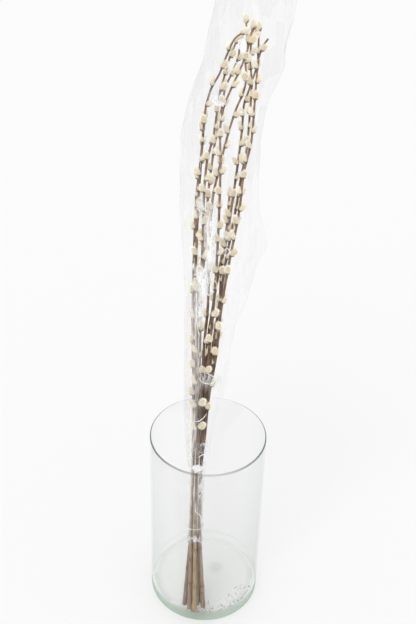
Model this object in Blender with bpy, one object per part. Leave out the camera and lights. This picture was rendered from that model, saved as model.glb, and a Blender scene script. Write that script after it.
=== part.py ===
"""Bunch of dried willow stems with catkins, in its clear film sleeve, standing in a glass cylinder vase.

The vase stands on Z = 0, centred on the Z axis. The stems stand on the floor of the vase against the
front wall (-Y), lean back and rest on the back of the rim, so the bunch has its own directions:
"along" runs up the leaning bunch from its feet, "across" is +X and "depth" points to the back.
"""

import math
import random

import bpy
import bmesh
import numpy as np
from mathutils import Vector

MM = 0.001
GAP = 0.3 * MM

# Vase, a plain glass cylinder with a thick floor
VASE_RADIUS = 75.0 * MM
VASE_HEIGHT = 280.0 * MM
VASE_WALL = 2.5 * MM
VASE_FLOOR = 11.0 * MM
VASE_FOOT_ROUND = 3.0 * MM
VASE_HEEL_ROUND = 3.0 * MM
VASE_SEGMENTS = 48
CORNER_STEPS = 3
RIM_STEPS = 4

# The leaning bunch
LEAN = math.radians(23.0)
BUNCH_FOOT = Vector((-12.0 * MM, -57.0 * MM, VASE_FLOOR))
ACROSS = Vector((0.0, 1.0, 0.0))

# Stems: radius in mm at a distance along the bunch
STEM_SIDES = 5
STEM_RING_SPACING = 40.0 * MM
AXIS_SPACING = 3.0 * MM
SPLAY_PART = 0.82
STEM_TAPER = [(0, 3.2), (50, 2.8), (90, 2.4), (112, 2.25), (200, 2.2), (400, 2.0), (600, 1.75), (800, 1.2)]

# Route of each stem axis as (along, across, depth) in mm, from the foot to the tip.
# The first "along" is only a start: the foot is slid down until it stands on the vase floor.
STEM_ROUTES = {
    "stem_01": [(0, -14, -1), (112, -7.1, 0), (200, -7.1, 0), (256, -8, 1.5), (300, -9, 1),
                (367, -10, 0), (434, -11, 0), (500, -10, -1), (565, -9, -2), (609, -7, -3),
                (650, -5, -5), (678, -3, -7), (703, 3, -9), (722, 13, -11), (746, 22, -12),
                (765, 31, -13), (772, 40, -13)],
    "stem_02": [(0, -7, -7), (112, -7.1, -4.8), (200, -7.1, -4.8), (256, -5.5, -6), (300, -5, -7),
                (367, -6, -11), (434, -6, -12), (500, -2, -12), (565, -2, -13), (609, 0, -13),
                (650, 8.5, -8), (697, 14, -5), (722, 20, -4), (746, 26.5, -2), (762, 33, -1)],
    "stem_03": [(0, -13, 7), (112, -7.1, 4.8), (200, -7.1, 4.8), (256, -6, 7.2), (300, -7.5, 7.5),
                (367, -11.5, 10), (434, -13, 11), (500, -13, 12), (565, -12, 12), (609, -8, 12),
                (669, -4, 13)],
    "stem_04": [(0, -4.6, 0.4), (112, -1.7, -2.4), (200, -1.7, -2.4), (256, -2.5, -1), (300, -2, 1.5),
                (367, -2, 5), (434, -3, 8), (500, 1, 10), (565, 3, 10), (629, 9, 9), (679, 17, 9),
                (703, 20.5, 9), (727, 30, 9), (746, 36.5, 9), (764, 38, 9)],
    "stem_05": [(0, 0, -9.8), (112, -1.7, -7.2), (200, -1.7, -7.2), (256, 0, -7), (300, 1.5, -6),
                (367, 3, -5), (434, 7, -4), (500, 6, -2), (565, 9, -1), (604, 16, -1), (650, 26.5, 0),
                (679, 35, 1), (706, 45, 1), (722, 47, -3), (734, 45, -4), (753, 47, -3), (786, 44, -3)],
    "stem_06": [(0, 3, -1), (112, 3.7, 0), (200, 3.7, 0), (256, 4, -2.5), (300, 6, -2),
                (367, 10, -11), (422, 14, -13), (500, 17, -12), (566, 18, -12), (609, 18, -14),
                (654, 16, -15), (679, 19, -15), (707, 29, -15), (732, 40, -14), (757, 48, -15),
                (779, 52, -14)],
    "stem_07": [(0, 5, 11), (112, -1.7, 7.2), (200, -1.7, 7.2), (256, 5, 7), (300, 9, 8), (367, 17, 9),
                (422, 22, 9), (482, 23.5, 9), (521, 30, 9), (566, 35, 10), (611, 40, 11), (657, 44, 12),
                (682, 45, 13), (707, 52, 14), (743, 61, 15), (778, 61, 15)],
    "stem_08": [(0, 9, 4), (112, 3.7, 4.8), (200, 3.7, 4.8), (256, 7, 2), (300, 8.5, 2.5),
                (367, 14, 0), (422, 21, 0), (482, 28, 0), (560, 40, 1), (598, 45, 2), (627, 50, 2),
                (655, 52, 3), (710, 54, 5), (744, 51, 7), (769, 52, 7), (780, 54, 8)],
    "stem_09": [(0, 12, -4.5), (112, 3.7, -4.8), (200, 3.7, -4.8), (256, 8, -5.5), (300, 11, -5),
                (367, 20, -7), (422, 24, -9), (482, 32, -9), (560, 44, -9), (598, 47, -8),
                (646, 56, -8), (713, 59, -7), (741, 61, -5), (759, 67, -5), (766, 72, -4)],
    "stem_10": [(0, -3, 7.5), (112, -1.7, 2.4), (200, -1.7, 2.4), (256, 0, 3.5), (300, 3, 5),
                (367, 7, 12), (434, 15, 17), (482, 22, 18), (534, 29, 19), (571, 31, 19)],
}

# Catkins: egg-shaped, on alternate sides of the stem, pointing up and out
CATKIN_LENGTH = 13.0 * MM
CATKIN_RADIUS = 4.1 * MM
CATKIN_ROOT = -0.8 * MM
CATKIN_SIDES = 5
CATKIN_PROFILE = [(0.0, 0.0), (0.4, 1.0), (0.76, 0.84), (1.0, 0.0)]
CATKIN_SIZES = (0.86, 1.08)
CATKIN_LEAN = math.radians(36.0)
CATKIN_LEAN_SPREAD = math.radians(10.0)
CATKIN_TURN = math.radians(137.5)
CATKIN_TURN_SPREAD = math.radians(18.0)

# Where catkins sit: the first one, the last one, and the spacing below and above a height on the stem
CATKIN_FIRST = 228.0 * MM
CATKIN_FIRST_SPREAD = 80.0 * MM
CATKIN_LAST = 9.0 * MM
CATKIN_DENSE_FROM = 440.0 * MM
CATKIN_SPACING_LOW = 38.0 * MM
CATKIN_SPACING_HIGH = 21.0 * MM
CATKIN_SPACING_SPREAD = (0.8, 1.2)
TIP_CATKIN_SINK = 2.0 * MM
BARE_TIPS = {"stem_09"}

# A catkin that would touch something is turned on about the stem, a step at a time, or left out
CATKIN_TRIES = 12
CATKIN_TRY_TURN = math.radians(31.0)
CATKIN_CLEARANCE = 0.6 * MM
CATKIN_MARKS = (5.0 * MM, 7.5 * MM, 10.0 * MM)
SEED = 23

# Film sleeve, a tapered crumpled tube: (along, left edge, right edge, front edge, back edge) in mm
SLEEVE_SECTIONS = [(97, -12.9, 9.4, -11.3, 11.3), (112, -11.1, 7.7, -10.4, 10.4),
                   (156, -11.4, 8.4, -10.6, 10.4), (196, -12, 10, -11.5, 10.8),
                   (226, -17, 15, -16, 11.6), (262, -20, 19, -19, 12), (299, -22, 30, -19, 12),
                   (335, -23, 37, -19, 16), (367, -24, 40, -22, 20), (401, -25, 45, -24, 24),
                   (435, -26, 58, -27, 27), (475, -29, 68, -28, 29), (513, -33, 82, -29, 31),
                   (558, -36, 70, -30, 31), (614, -37, 68, -30, 29), (652, -35, 70, -30, 28),
                   (691, -26, 78, -30, 28), (728, -13, 94, -30, 28), (760, -6, 99, -29, 28),
                   (800, 3, 107, -27, 27), (840, 10, 114, -24, 24)]
SLEEVE_THICKNESS = 0.6 * MM
SLEEVE_SEGMENTS = 20
SLEEVE_SQUARENESS = 2.6

# The loose upper part is fluted: it is tight up to one height and fully loose a run above it
SLEEVE_TIGHT_TO = 300.0 * MM
SLEEVE_LOOSENING = 150.0 * MM
SLEEVE_FLUTES = 5
SLEEVE_FLUTE_DEPTH = 0.06
SLEEVE_FLUTE_DRIFT = 9.0

# Both ends of the film are cut off unevenly
SLEEVE_RAG_LOW = 3.0 * MM
SLEEVE_RAG_HIGH = 2.5 * MM
SLEEVE_RAG_WAVES = 4
SLEEVE_RAG_PHASE = 0.7

# Elastic tie round the sleeve and the stems
TIE_ALONG = 118.0 * MM
TIE_RADIUS = 0.6 * MM
TIE_SEGMENTS = 20
TIE_SIDES = 6


def clear_scene():
    for item in list(bpy.data.objects):
        bpy.data.objects.remove(item, do_unlink=True)


def material(name, colour, roughness, metallic=0.0, alpha=1.0, transmission=0.0):
    made = bpy.data.materials.new(name)
    made.use_nodes = True
    shader = made.node_tree.nodes["Principled BSDF"]
    shader.inputs["Base Color"].default_value = (*colour, 1.0)
    shader.inputs["Roughness"].default_value = roughness
    shader.inputs["Metallic"].default_value = metallic
    shader.inputs["Alpha"].default_value = alpha
    shader.inputs["Transmission Weight"].default_value = transmission
    return made


def ring_body(name, rings, skin, looped=False, sharp_angle=math.radians(40.0)):
    """One closed body from a stack of rings. A ring of one point is a pole. Unless the stack is looped
    back to its first ring, a wide ring at either end is closed with a flat face."""
    mesh = bmesh.new()
    stack = [[mesh.verts.new(point) for point in ring] for ring in rings]
    pairs = list(zip(stack, stack[1:]))
    if looped:
        pairs.append((stack[-1], stack[0]))
    for low, high in pairs:
        count = max(len(low), len(high))
        for i in range(count):
            j = (i + 1) % count
            corners = [low[i % len(low)], low[j % len(low)], high[j % len(high)], high[i % len(high)]]
            mesh.faces.new(list(dict.fromkeys(corners)))
    if not looped:
        for end in (stack[0], stack[-1]):
            if len(end) > 1:
                mesh.faces.new(end)
    bmesh.ops.recalc_face_normals(mesh, faces=mesh.faces)
    data = bpy.data.meshes.new(name)
    mesh.to_mesh(data)
    mesh.free()
    data.materials.append(skin)
    data.shade_smooth()
    data.set_sharp_from_angle(angle=sharp_angle)
    body = bpy.data.objects.new(name, data)
    bpy.context.scene.collection.objects.link(body)
    return body


def arc(centre, radius, start_deg, end_deg, steps):
    """Points of an arc in the (radius, height) plane of a turned profile."""
    angles = np.radians(np.linspace(start_deg, end_deg, steps + 1))
    return [(centre[0] + radius * math.cos(a), centre[1] + radius * math.sin(a)) for a in angles]


def circle(radius, height, count):
    angles = [2.0 * math.pi * i / count for i in range(count)]
    return [(radius * math.cos(a), radius * math.sin(a), height) for a in angles]


def make_vase():
    foot = (VASE_RADIUS - VASE_FOOT_ROUND, VASE_FOOT_ROUND)
    rim = (VASE_RADIUS - VASE_WALL / 2, VASE_HEIGHT - VASE_WALL / 2)
    heel = (VASE_RADIUS - VASE_WALL - VASE_HEEL_ROUND, VASE_FLOOR + VASE_HEEL_ROUND)
    profile = arc(foot, VASE_FOOT_ROUND, -90, 0, CORNER_STEPS)
    profile += arc(rim, VASE_WALL / 2, 0, 180, RIM_STEPS)
    profile += arc(heel, VASE_HEEL_ROUND, 0, -90, CORNER_STEPS)
    glass = material("vase_glass", (0.86, 0.92, 0.9), 0.03, alpha=0.35, transmission=1.0)
    return ring_body("vase", [circle(r, z, VASE_SEGMENTS) for r, z in profile], glass)


def in_vase(along, across, depth):
    """World place of a point given in the bunch's own directions, in metres."""
    back = along * math.sin(LEAN) + depth * math.cos(LEAN)
    up = along * math.cos(LEAN) - depth * math.sin(LEAN)
    return BUNCH_FOOT + Vector((across, back, up))


def smooth_values(knots, values, at):
    """Smooth curve through values given at rising knots, read at the given places. It doesn't swing past
    its own points: where the values turn back or level off, the curve is level."""
    knots = np.asarray(knots, dtype=float)
    values = np.asarray(values, dtype=float).reshape(len(knots), -1)
    steps = np.diff(knots)[:, None]
    rises = np.diff(values, axis=0) / steps
    before, after = rises[:-1], rises[1:]
    onward = before * after > 0.0
    total = np.where(onward, before + after, 1.0)
    bends = np.where(onward, 2.0 * before * after / total, 0.0)
    slopes = np.concatenate([rises[:1], bends, rises[-1:]])
    i = np.clip(np.searchsorted(knots, at, side="right") - 1, 0, len(knots) - 2)
    step = steps[i]
    t = (np.asarray(at)[:, None] - knots[i][:, None]) / step
    start, end = values[i], values[i + 1]
    lean_in, lean_out = slopes[i] * step, slopes[i + 1] * step
    return (start * (2 * t**3 - 3 * t**2 + 1) + lean_in * (t**3 - 2 * t**2 + t)
            + end * (3 * t**2 - 2 * t**3) + lean_out * (t**3 - t**2))


def stem_radius(along):
    places, radii = zip(*STEM_TAPER)
    return float(np.interp(along / MM, places, radii)) * MM


def stem_route(name):
    """Route points of a stem in metres, its foot on the vase floor. Up to just below the tie it splays
    straight out from the waist of the bunch."""
    points = np.array(STEM_ROUTES[name], dtype=float) * MM
    foot_lift = stem_radius(0.0) * math.sin(LEAN) + GAP
    points[0, 0] = (points[0, 2] * math.sin(LEAN) + foot_lift) / math.cos(LEAN)
    below_tie = points[0] + (points[1] - points[0]) * SPLAY_PART
    return np.insert(points, 1, below_tie, axis=0)


def stem_axis(name, spacing):
    """Points (along, across, depth) on a smooth curve through a stem's route, at every route point and
    between them so that none are further apart than the spacing."""
    points = stem_route(name)
    lengths = np.linalg.norm(np.diff(points, axis=0), axis=1)
    knots = np.concatenate([[0.0], np.cumsum(lengths)])
    places = [0.0]
    for start, length in zip(knots, lengths):
        steps = math.ceil(length / spacing)
        places += [start + length * (i + 1) / steps for i in range(steps)]
    return smooth_values(knots, points, places)


def directions(points):
    """Unit direction of the curve at each of its points."""
    tangents = np.gradient(np.asarray(points), axis=0)
    return [Vector(t).normalized() for t in tangents]


def ring_about(centre, direction, radius, sides, turn=0.0):
    side = (ACROSS - direction * direction.dot(ACROSS)).normalized()
    other = direction.cross(side)
    ring = []
    for i in range(sides):
        a = turn + 2.0 * math.pi * i / sides
        ring.append(centre + side * (radius * math.cos(a)) + other * (radius * math.sin(a)))
    return ring


def sleeve_section(along, inset=0.0):
    """Middle (across, depth), half width and half depth of the sleeve at a distance along the bunch."""
    places, *edges = (np.array(row) * MM for row in zip(*SLEEVE_SECTIONS))
    at = np.clip(np.array([along]), places[0], places[-1])
    left, right, front, back = smooth_values(places, np.transpose(edges), at)[0]
    middle = ((left + right) / 2, (front + back) / 2)
    return middle, (right - left) / 2 - inset, (back - front) / 2 - inset


def squared_circle(angle):
    """Point of the sleeve's outline at an angle, a circle of radius 1 pushed out towards a square."""
    power = 2.0 / SLEEVE_SQUARENESS
    x, y = math.cos(angle), math.sin(angle)
    return math.copysign(abs(x) ** power, x), math.copysign(abs(y) ** power, y)


def flute_depth(along):
    """How far the flutes draw the film in, as a share of its width."""
    looseness = (along - SLEEVE_TIGHT_TO) / SLEEVE_LOOSENING
    return SLEEVE_FLUTE_DEPTH * min(1.0, max(0.0, looseness))


def sleeve_ring(along, inset, ragged=0.0):
    """Ring of the film. Its shallow flutes drift round as they rise."""
    middle, half_width, half_depth = sleeve_section(along, inset)
    ring = []
    for i in range(SLEEVE_SEGMENTS):
        angle = 2.0 * math.pi * i / SLEEVE_SEGMENTS
        wave = 0.5 + 0.5 * math.sin(SLEEVE_FLUTES * angle + SLEEVE_FLUTE_DRIFT * along)
        drawn_in = 1.0 - flute_depth(along) * wave
        x, y = squared_circle(angle)
        shift = ragged * math.sin(SLEEVE_RAG_WAVES * angle + SLEEVE_RAG_PHASE)
        across = middle[0] + half_width * drawn_in * x
        depth = middle[1] + half_depth * drawn_in * y
        ring.append(in_vase(along + shift, across, depth))
    return ring


def make_sleeve():
    stations = [row[0] * MM for row in SLEEVE_SECTIONS]
    rags = [SLEEVE_RAG_LOW] + [0.0] * (len(stations) - 2) + [SLEEVE_RAG_HIGH]
    outer = [sleeve_ring(s, 0.0, rag) for s, rag in zip(stations, rags)]
    inner = [sleeve_ring(s, SLEEVE_THICKNESS, rag) for s, rag in zip(stations, rags)]
    film = material("clear_film", (0.93, 0.94, 0.95), 0.12, alpha=0.25)
    return ring_body("film_sleeve", outer + inner[::-1], film, looped=True)


def make_tie():
    """An elastic ring laid round the sleeve where it is drawn in."""
    middle, half_width, half_depth = sleeve_section(TIE_ALONG, -(GAP + TIE_RADIUS))
    rings = []
    for i in range(TIE_SEGMENTS):
        x, y = squared_circle(2.0 * math.pi * i / TIE_SEGMENTS)
        x, y = x * half_width, y * half_depth
        ring = []
        for k in range(TIE_SIDES):
            a = 2.0 * math.pi * k / TIE_SIDES
            scale = 1.0 + TIE_RADIUS * math.cos(a) / math.hypot(x, y)
            ring.append(in_vase(TIE_ALONG + TIE_RADIUS * math.sin(a),
                                middle[0] + x * scale, middle[1] + y * scale))
        rings.append(ring)
    elastic = material("white_elastic", (0.85, 0.84, 0.8), 0.5)
    return ring_body("tie_band", rings, elastic, looped=True)


def fits_in_sleeve(point, radius):
    """Whether a ball at (along, across, depth) lies inside the sleeve, clear of the film."""
    middle, half_width, half_depth = sleeve_section(point[0], SLEEVE_THICKNESS)
    narrowest = 1.0 - flute_depth(point[0])
    reach = radius + CATKIN_CLEARANCE
    x = (abs(point[1] - middle[0]) + reach) / (half_width * narrowest)
    y = (abs(point[2] - middle[1]) + reach) / (half_depth * narrowest)
    return x**SLEEVE_SQUARENESS + y**SLEEVE_SQUARENESS <= 1.0


def nearest(point, others):
    return float(np.min(np.linalg.norm(others - np.array(point), axis=1)))


def catkin_marks(root, way, size):
    """Three points along the middle of a catkin, from which its clearance is measured."""
    return [root + np.array(way) * (reach * size) for reach in CATKIN_MARKS]


def has_room(marks, radius, stem, other_stems, taken):
    """Whether a catkin with these marks is clear of other stems, of the catkins so far and of the film."""
    room = radius + CATKIN_CLEARANCE
    if min(nearest(mark, other_stems) for mark in marks) < room + stem:
        return False
    if taken and min(nearest(mark, np.array(taken)) for mark in marks) < room + radius:
        return False
    return all(fits_in_sleeve(mark, radius) for mark in marks)


def place_catkins(axes):
    """Root, direction and size of every catkin, by stem. Each sits on its stem by a seeded rule, turned
    about the stem until it is clear of everything else."""
    draw = random.Random(SEED)
    taken = []
    placed = {}
    for name, axis in axes.items():
        others = np.concatenate([a for other, a in axes.items() if other != name])
        tangents = directions(axis)
        lengths = np.concatenate([[0.0], np.cumsum(np.linalg.norm(np.diff(axis, axis=0), axis=1))])
        placed[name] = []
        turn = draw.uniform(0.0, 2.0 * math.pi)
        place = CATKIN_FIRST + draw.uniform(0.0, CATKIN_FIRST_SPREAD)
        while place < lengths[-1] - CATKIN_LAST:
            i = int(np.searchsorted(lengths, place))
            root, up = axis[i], tangents[i]
            size = draw.uniform(*CATKIN_SIZES)
            lean = CATKIN_LEAN + draw.uniform(-CATKIN_LEAN_SPREAD, CATKIN_LEAN_SPREAD)
            turn += CATKIN_TURN + draw.uniform(-CATKIN_TURN_SPREAD, CATKIN_TURN_SPREAD)
            for attempt in range(CATKIN_TRIES):
                out = ring_about(Vector((0, 0, 0)), up, 1.0, 1, turn + attempt * CATKIN_TRY_TURN)[0]
                way = (up * math.cos(lean) + out * math.sin(lean)).normalized()
                marks = catkin_marks(root, way, size)
                if has_room(marks, CATKIN_RADIUS * size, stem_radius(root[0]), others, taken):
                    placed[name].append((root, way, size))
                    taken.extend(marks)
                    break
            spacing = CATKIN_SPACING_LOW if place < CATKIN_DENSE_FROM else CATKIN_SPACING_HIGH
            place += spacing * draw.uniform(*CATKIN_SPACING_SPREAD)
        if name not in BARE_TIPS:
            tip = axis[-1] - np.array(tangents[-1]) * TIP_CATKIN_SINK
            placed[name].append((tip, tangents[-1], 1.0))
            taken.extend(catkin_marks(tip, tangents[-1], 1.0))
    return placed


def catkin_rings(root, way, size):
    rings = []
    for part, width in CATKIN_PROFILE:
        centre = Vector(root) + way * ((CATKIN_ROOT + part * CATKIN_LENGTH) * size)
        if width == 0.0:
            ring = [centre]
        else:
            ring = ring_about(centre, way, CATKIN_RADIUS * width * size, CATKIN_SIDES)
        rings.append([in_vase(*point) for point in ring])
    return rings


def fuse(body, parts):
    """Join the parts to the body in one solid."""
    group = bpy.data.collections.new(body.name + "_parts")
    for part in parts:
        bpy.context.scene.collection.objects.unlink(part)
        group.objects.link(part)
    bpy.context.scene.collection.children.link(group)
    union = body.modifiers.new("fuse", "BOOLEAN")
    union.operation = "UNION"
    union.operand_type = "COLLECTION"
    union.collection = group
    union.solver = "MANIFOLD"
    evaluated = body.evaluated_get(bpy.context.evaluated_depsgraph_get())
    fused = bpy.data.meshes.new_from_object(evaluated)
    body.modifiers.clear()
    body.data = fused
    for part in parts:
        bpy.data.objects.remove(part, do_unlink=True)
    bpy.data.collections.remove(group)


def make_stems():
    bark = material("willow_bark", (0.23, 0.15, 0.1), 0.7)
    silk = material("catkin_silk", (0.8, 0.75, 0.63), 0.9)
    fine_axes = {name: stem_axis(name, AXIS_SPACING) for name in STEM_ROUTES}
    catkins = place_catkins(fine_axes)
    for name in STEM_ROUTES:
        axis = stem_axis(name, STEM_RING_SPACING)
        rings = []
        for point, way in zip(axis, directions(axis)):
            ring = ring_about(Vector(point), way, stem_radius(point[0]), STEM_SIDES)
            rings.append([in_vase(*p) for p in ring])
        stem = ring_body(name, rings, bark)
        parts = []
        for number, (root, way, size) in enumerate(catkins[name]):
            parts.append(ring_body(f"{name}_catkin_{number:02d}", catkin_rings(root, way, size), silk))
        fuse(stem, parts)


clear_scene()
make_vase()
make_stems()
make_sleeve()
make_tie()
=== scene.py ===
"""Look of a bunch of dried willow stems: bark, catkins and bud scales, the clear film sleeve with its
elastic tie, and the glass cylinder vase that the bunch leans in."""

import math
import random

import bpy
import numpy as np
from mathutils import Matrix, Vector, noise


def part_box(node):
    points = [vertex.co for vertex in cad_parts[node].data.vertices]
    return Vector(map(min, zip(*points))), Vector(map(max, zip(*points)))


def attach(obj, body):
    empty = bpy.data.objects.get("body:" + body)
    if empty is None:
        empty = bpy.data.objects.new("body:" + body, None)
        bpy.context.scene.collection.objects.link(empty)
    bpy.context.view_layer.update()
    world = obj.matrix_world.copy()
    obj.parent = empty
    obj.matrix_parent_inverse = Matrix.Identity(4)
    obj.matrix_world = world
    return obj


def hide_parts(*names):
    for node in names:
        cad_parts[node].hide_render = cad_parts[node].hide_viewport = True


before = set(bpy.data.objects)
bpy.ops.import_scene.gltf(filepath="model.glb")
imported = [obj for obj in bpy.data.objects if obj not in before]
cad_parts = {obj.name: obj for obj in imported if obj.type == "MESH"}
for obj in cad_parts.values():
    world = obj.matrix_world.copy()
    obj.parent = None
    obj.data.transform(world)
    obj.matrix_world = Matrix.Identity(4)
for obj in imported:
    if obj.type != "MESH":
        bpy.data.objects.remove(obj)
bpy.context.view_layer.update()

MM = 0.001

# Camera. It looks down on the vase from in front, about a metre and a half away and tilted a little to one
# side, with no shift and no depth of field.
CAMERA_PLACE = Vector((-0.0047, -0.9607, 1.1522))
CAMERA_PITCH = math.radians(35.28)
CAMERA_ROLL = math.radians(1.61)
FOCUS_PX = 1000.0
LONG_SIDE_PX = 624.0

lens = bpy.data.cameras.new("camera")
lens.sensor_width = 36.0
lens.lens = FOCUS_PX / LONG_SIDE_PX * lens.sensor_width
lens.clip_start = 10.0 * MM
camera = bpy.data.objects.new("camera", lens)
camera.matrix_world = (Matrix.Translation(CAMERA_PLACE)
                       @ Matrix.Rotation(math.pi / 2 - CAMERA_PITCH, 4, "X")
                       @ Matrix.Rotation(CAMERA_ROLL, 4, "Z"))
bpy.context.scene.collection.objects.link(camera)
bpy.context.scene.camera = camera


# Vase. A straight cylinder of clear soda-lime glass with a thick floor, blown in a turning mould, so the
# inside of its wall is faintly rippled. The rim is melted round, and its own thickness makes it look green;
# here that is a painted dark green shade.
vase_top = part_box("vase")[1]
VASE_RADIUS = vase_top.x
VASE_HEIGHT = vase_top.z
VASE_WALL = 2.5 * MM
RIM_DEPTH = 1.1 * VASE_WALL
VASE_FLOOR = 11.0 * MM
VASE_CORNER = 3.0 * MM
VASE_SEGMENTS = 144
CORNER_STEPS = 8
RIM_STEPS = 12
OUTER_ROWS = 30
INNER_ROWS = 40
FLOOR_ROWS = 12
TOLERANCE = 0.1 * MM
RIPPLE_DEPTH = 0.12 * MM
RIPPLE_SIZE = 26.0 * MM
CLEAR = (1.0, 1.0, 1.0, 1.0)
GLASS_TINT = (0.985, 0.99, 0.987, 1.0)
# Painted dark shade of the rim's edge line
GLASS_RIM_PAINTED_SHADE = (0.02, 0.055, 0.048, 1.0)
# Least strength of the rim's painted dark shade, and how sharply it falls off from left and right to there
RIM_BACK = (0.0, 3.0)
RIM_FRONT = (0.3, 1.5)
GLASS_WALL_TINT = (0.988, 0.989, 0.989, 1.0)
GLASS_EDGE_TINT = (0.946, 0.952, 0.949, 1.0)
EDGE_FADE = 0.5
GLASS_FLOOR_TINT = (0.965, 0.964, 0.958, 1.0)
# Painted shade ring on the floor near its corner, where it lies, and how far it fades at the back
GLASS_RING_PAINTED_SHADE = (0.84, 0.865, 0.842, 1.0)
FLOOR_RING = (59.0 * MM, 68.0 * MM)
RING_FADE = 0.3
GLASS_FOOT_TINT = (0.46, 0.58, 0.48, 1.0)
GLASS_MARK_TINT = (0.84, 0.89, 0.86, 1.0)
GLASS_DEPTH_TINT = (0.50, 0.74, 0.60, 1.0)
GLASS_DENSITY = 1.6
LAMP_CLEARNESS = 0.7
MOULD_MARK = Vector((17.0, 12.0, 11.0)) * MM
MOULD_MARK_EDGE = (5.85 * MM, 13.0 * MM)


def arc(centre, radius, start_deg, end_deg, steps):
    """Points (radius, height) along an arc of the vase's profile."""
    angles = np.radians(np.linspace(start_deg, end_deg, steps + 1))
    return [(centre[0] + radius * math.cos(a), centre[1] + radius * math.sin(a)) for a in angles]


def ring_faces(rows, columns, rows_join=False):
    """Quads over rows of points, each row closed into a ring. The last row may join the first."""
    faces = []
    for row in range(rows if rows_join else rows - 1):
        low, high = row * columns, (row + 1) % rows * columns
        for i in range(columns):
            j = (i + 1) % columns
            faces.append((low + i, low + j, high + j, high + i))
    return faces


def closed_faces(rows, columns):
    """Faces of rings closed at both ends by a fan. The points are one end, the rings, and the other end."""
    last = rows * columns + 1
    faces = [(0, 1 + (i + 1) % columns, 1 + i) for i in range(columns)]
    faces += [tuple(1 + corner for corner in face) for face in ring_faces(rows, columns)]
    top = last - columns
    faces += [(last, top + i, top + (i + 1) % columns) for i in range(columns)]
    return faces


def new_piece(name, points, faces, *skins):
    """A smooth mesh object with its materials."""
    mesh = bpy.data.meshes.new(name)
    mesh.from_pydata(np.asarray(points).tolist(), [], faces)
    for skin in skins:
        mesh.materials.append(skin)
    mesh.shade_smooth()
    piece = bpy.data.objects.new(name, mesh)
    bpy.context.scene.collection.objects.link(piece)
    return piece


def add_value(mesh, name, values):
    """A number for each point of a mesh, which its material reads by name."""
    mesh.attributes.new(name, "FLOAT", "POINT").data.foreach_set("value", np.asarray(values, dtype=float))


def new_material(name):
    """An empty node material and its tree."""
    made = bpy.data.materials.new(name)
    made.use_nodes = True
    made.node_tree.nodes.clear()
    return made, made.node_tree


def add_node(tree, kind, values=None, **options):
    """A shader node with its options set and its inputs given values or linked to other nodes' outputs."""
    made = tree.nodes.new("ShaderNode" + kind)
    for key, value in options.items():
        setattr(made, key, value)
    for key, value in (values or {}).items():
        if isinstance(value, bpy.types.NodeSocket):
            tree.links.new(value, made.inputs[key])
        else:
            made.inputs[key].default_value = value
    return made


def read_value(tree, name):
    """Output with the number that add_value gave the points."""
    return add_node(tree, "Attribute", attribute_name=name).outputs["Fac"]


def read_place(tree):
    """Output with the place on the object, in metres."""
    return add_node(tree, "TexCoord").outputs["Object"]


def maths(tree, operation, *values, clamp=False):
    """Output of a Math node on one, two or three values."""
    return add_node(tree, "Math", dict(enumerate(values)), operation=operation, use_clamp=clamp).outputs[0]


def ranged(tree, value, low, high, to_low=0.0, to_high=1.0):
    """Output that goes from to_low to to_high while the value goes from low to high."""
    return add_node(tree, "MapRange", {"Value": value, "From Min": low, "From Max": high, "To Min": to_low,
                                       "To Max": to_high}).outputs["Result"]


def mix_colours(tree, share, first, second, blend="MIX"):
    """Output that goes from the first colour to the second."""
    return add_node(tree, "Mix", {0: share, 6: first, 7: second}, data_type="RGBA",
                    blend_type=blend).outputs[2]


def fine_noise(tree, place, scale, detail=2.0, roughness=0.5):
    """Output with a soft random value at a place."""
    return add_node(tree, "TexNoise", {"Vector": place, "Scale": scale, "Detail": detail,
                                       "Roughness": roughness}).outputs["Fac"]


def relief(tree, height, strength, distance):
    """Normal of a surface with fine relief on it."""
    return add_node(tree, "Bump", {"Height": height, "Strength": strength,
                                   "Distance": distance}).outputs["Normal"]


def set_finish(tree, values):
    """Make a Principled shader with these values the surface of a material."""
    shader = add_node(tree, "BsdfPrincipled", values)
    add_node(tree, "OutputMaterial", {"Surface": shader.outputs[0]})


def new_group(name, inputs, outputs):
    """A shader group with named inputs (name, socket kind, value) and outputs (name, socket kind)."""
    tree = bpy.data.node_groups.new(name, "ShaderNodeTree")
    for label, kind, value in inputs:
        socket = tree.interface.new_socket(label, in_out="INPUT", socket_type="NodeSocket" + kind)
        socket.default_value = value
    for label, kind in outputs:
        tree.interface.new_socket(label, in_out="OUTPUT", socket_type="NodeSocket" + kind)
    return tree, tree.nodes.new("NodeGroupInput").outputs, tree.nodes.new("NodeGroupOutput").inputs


# Dust, handling and age lie in soft patches on most surfaces here: one patchy mask, with a finer break-up
patch_tree, patch_in, patch_out = new_group(
    "patches", [("Vector", "Vector", (0.0, 0.0, 0.0)), ("Size", "Float", 30.0), ("Low", "Float", 0.4),
                ("High", "Float", 0.6)], [("Mask", "Float")])
patch_noise = fine_noise(patch_tree, patch_in["Vector"], patch_in["Size"], detail=3.0)
patch_mask = ranged(patch_tree, patch_noise, patch_in["Low"], patch_in["High"])
patch_tree.links.new(patch_mask, patch_out["Mask"])


def patches(tree, place, size, low, high):
    """Mask of soft patches. A larger size number makes smaller patches."""
    return add_node(tree, "Group", {"Vector": place, "Size": size, "Low": low, "High": high},
                    node_tree=patch_tree).outputs["Mask"]


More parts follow.
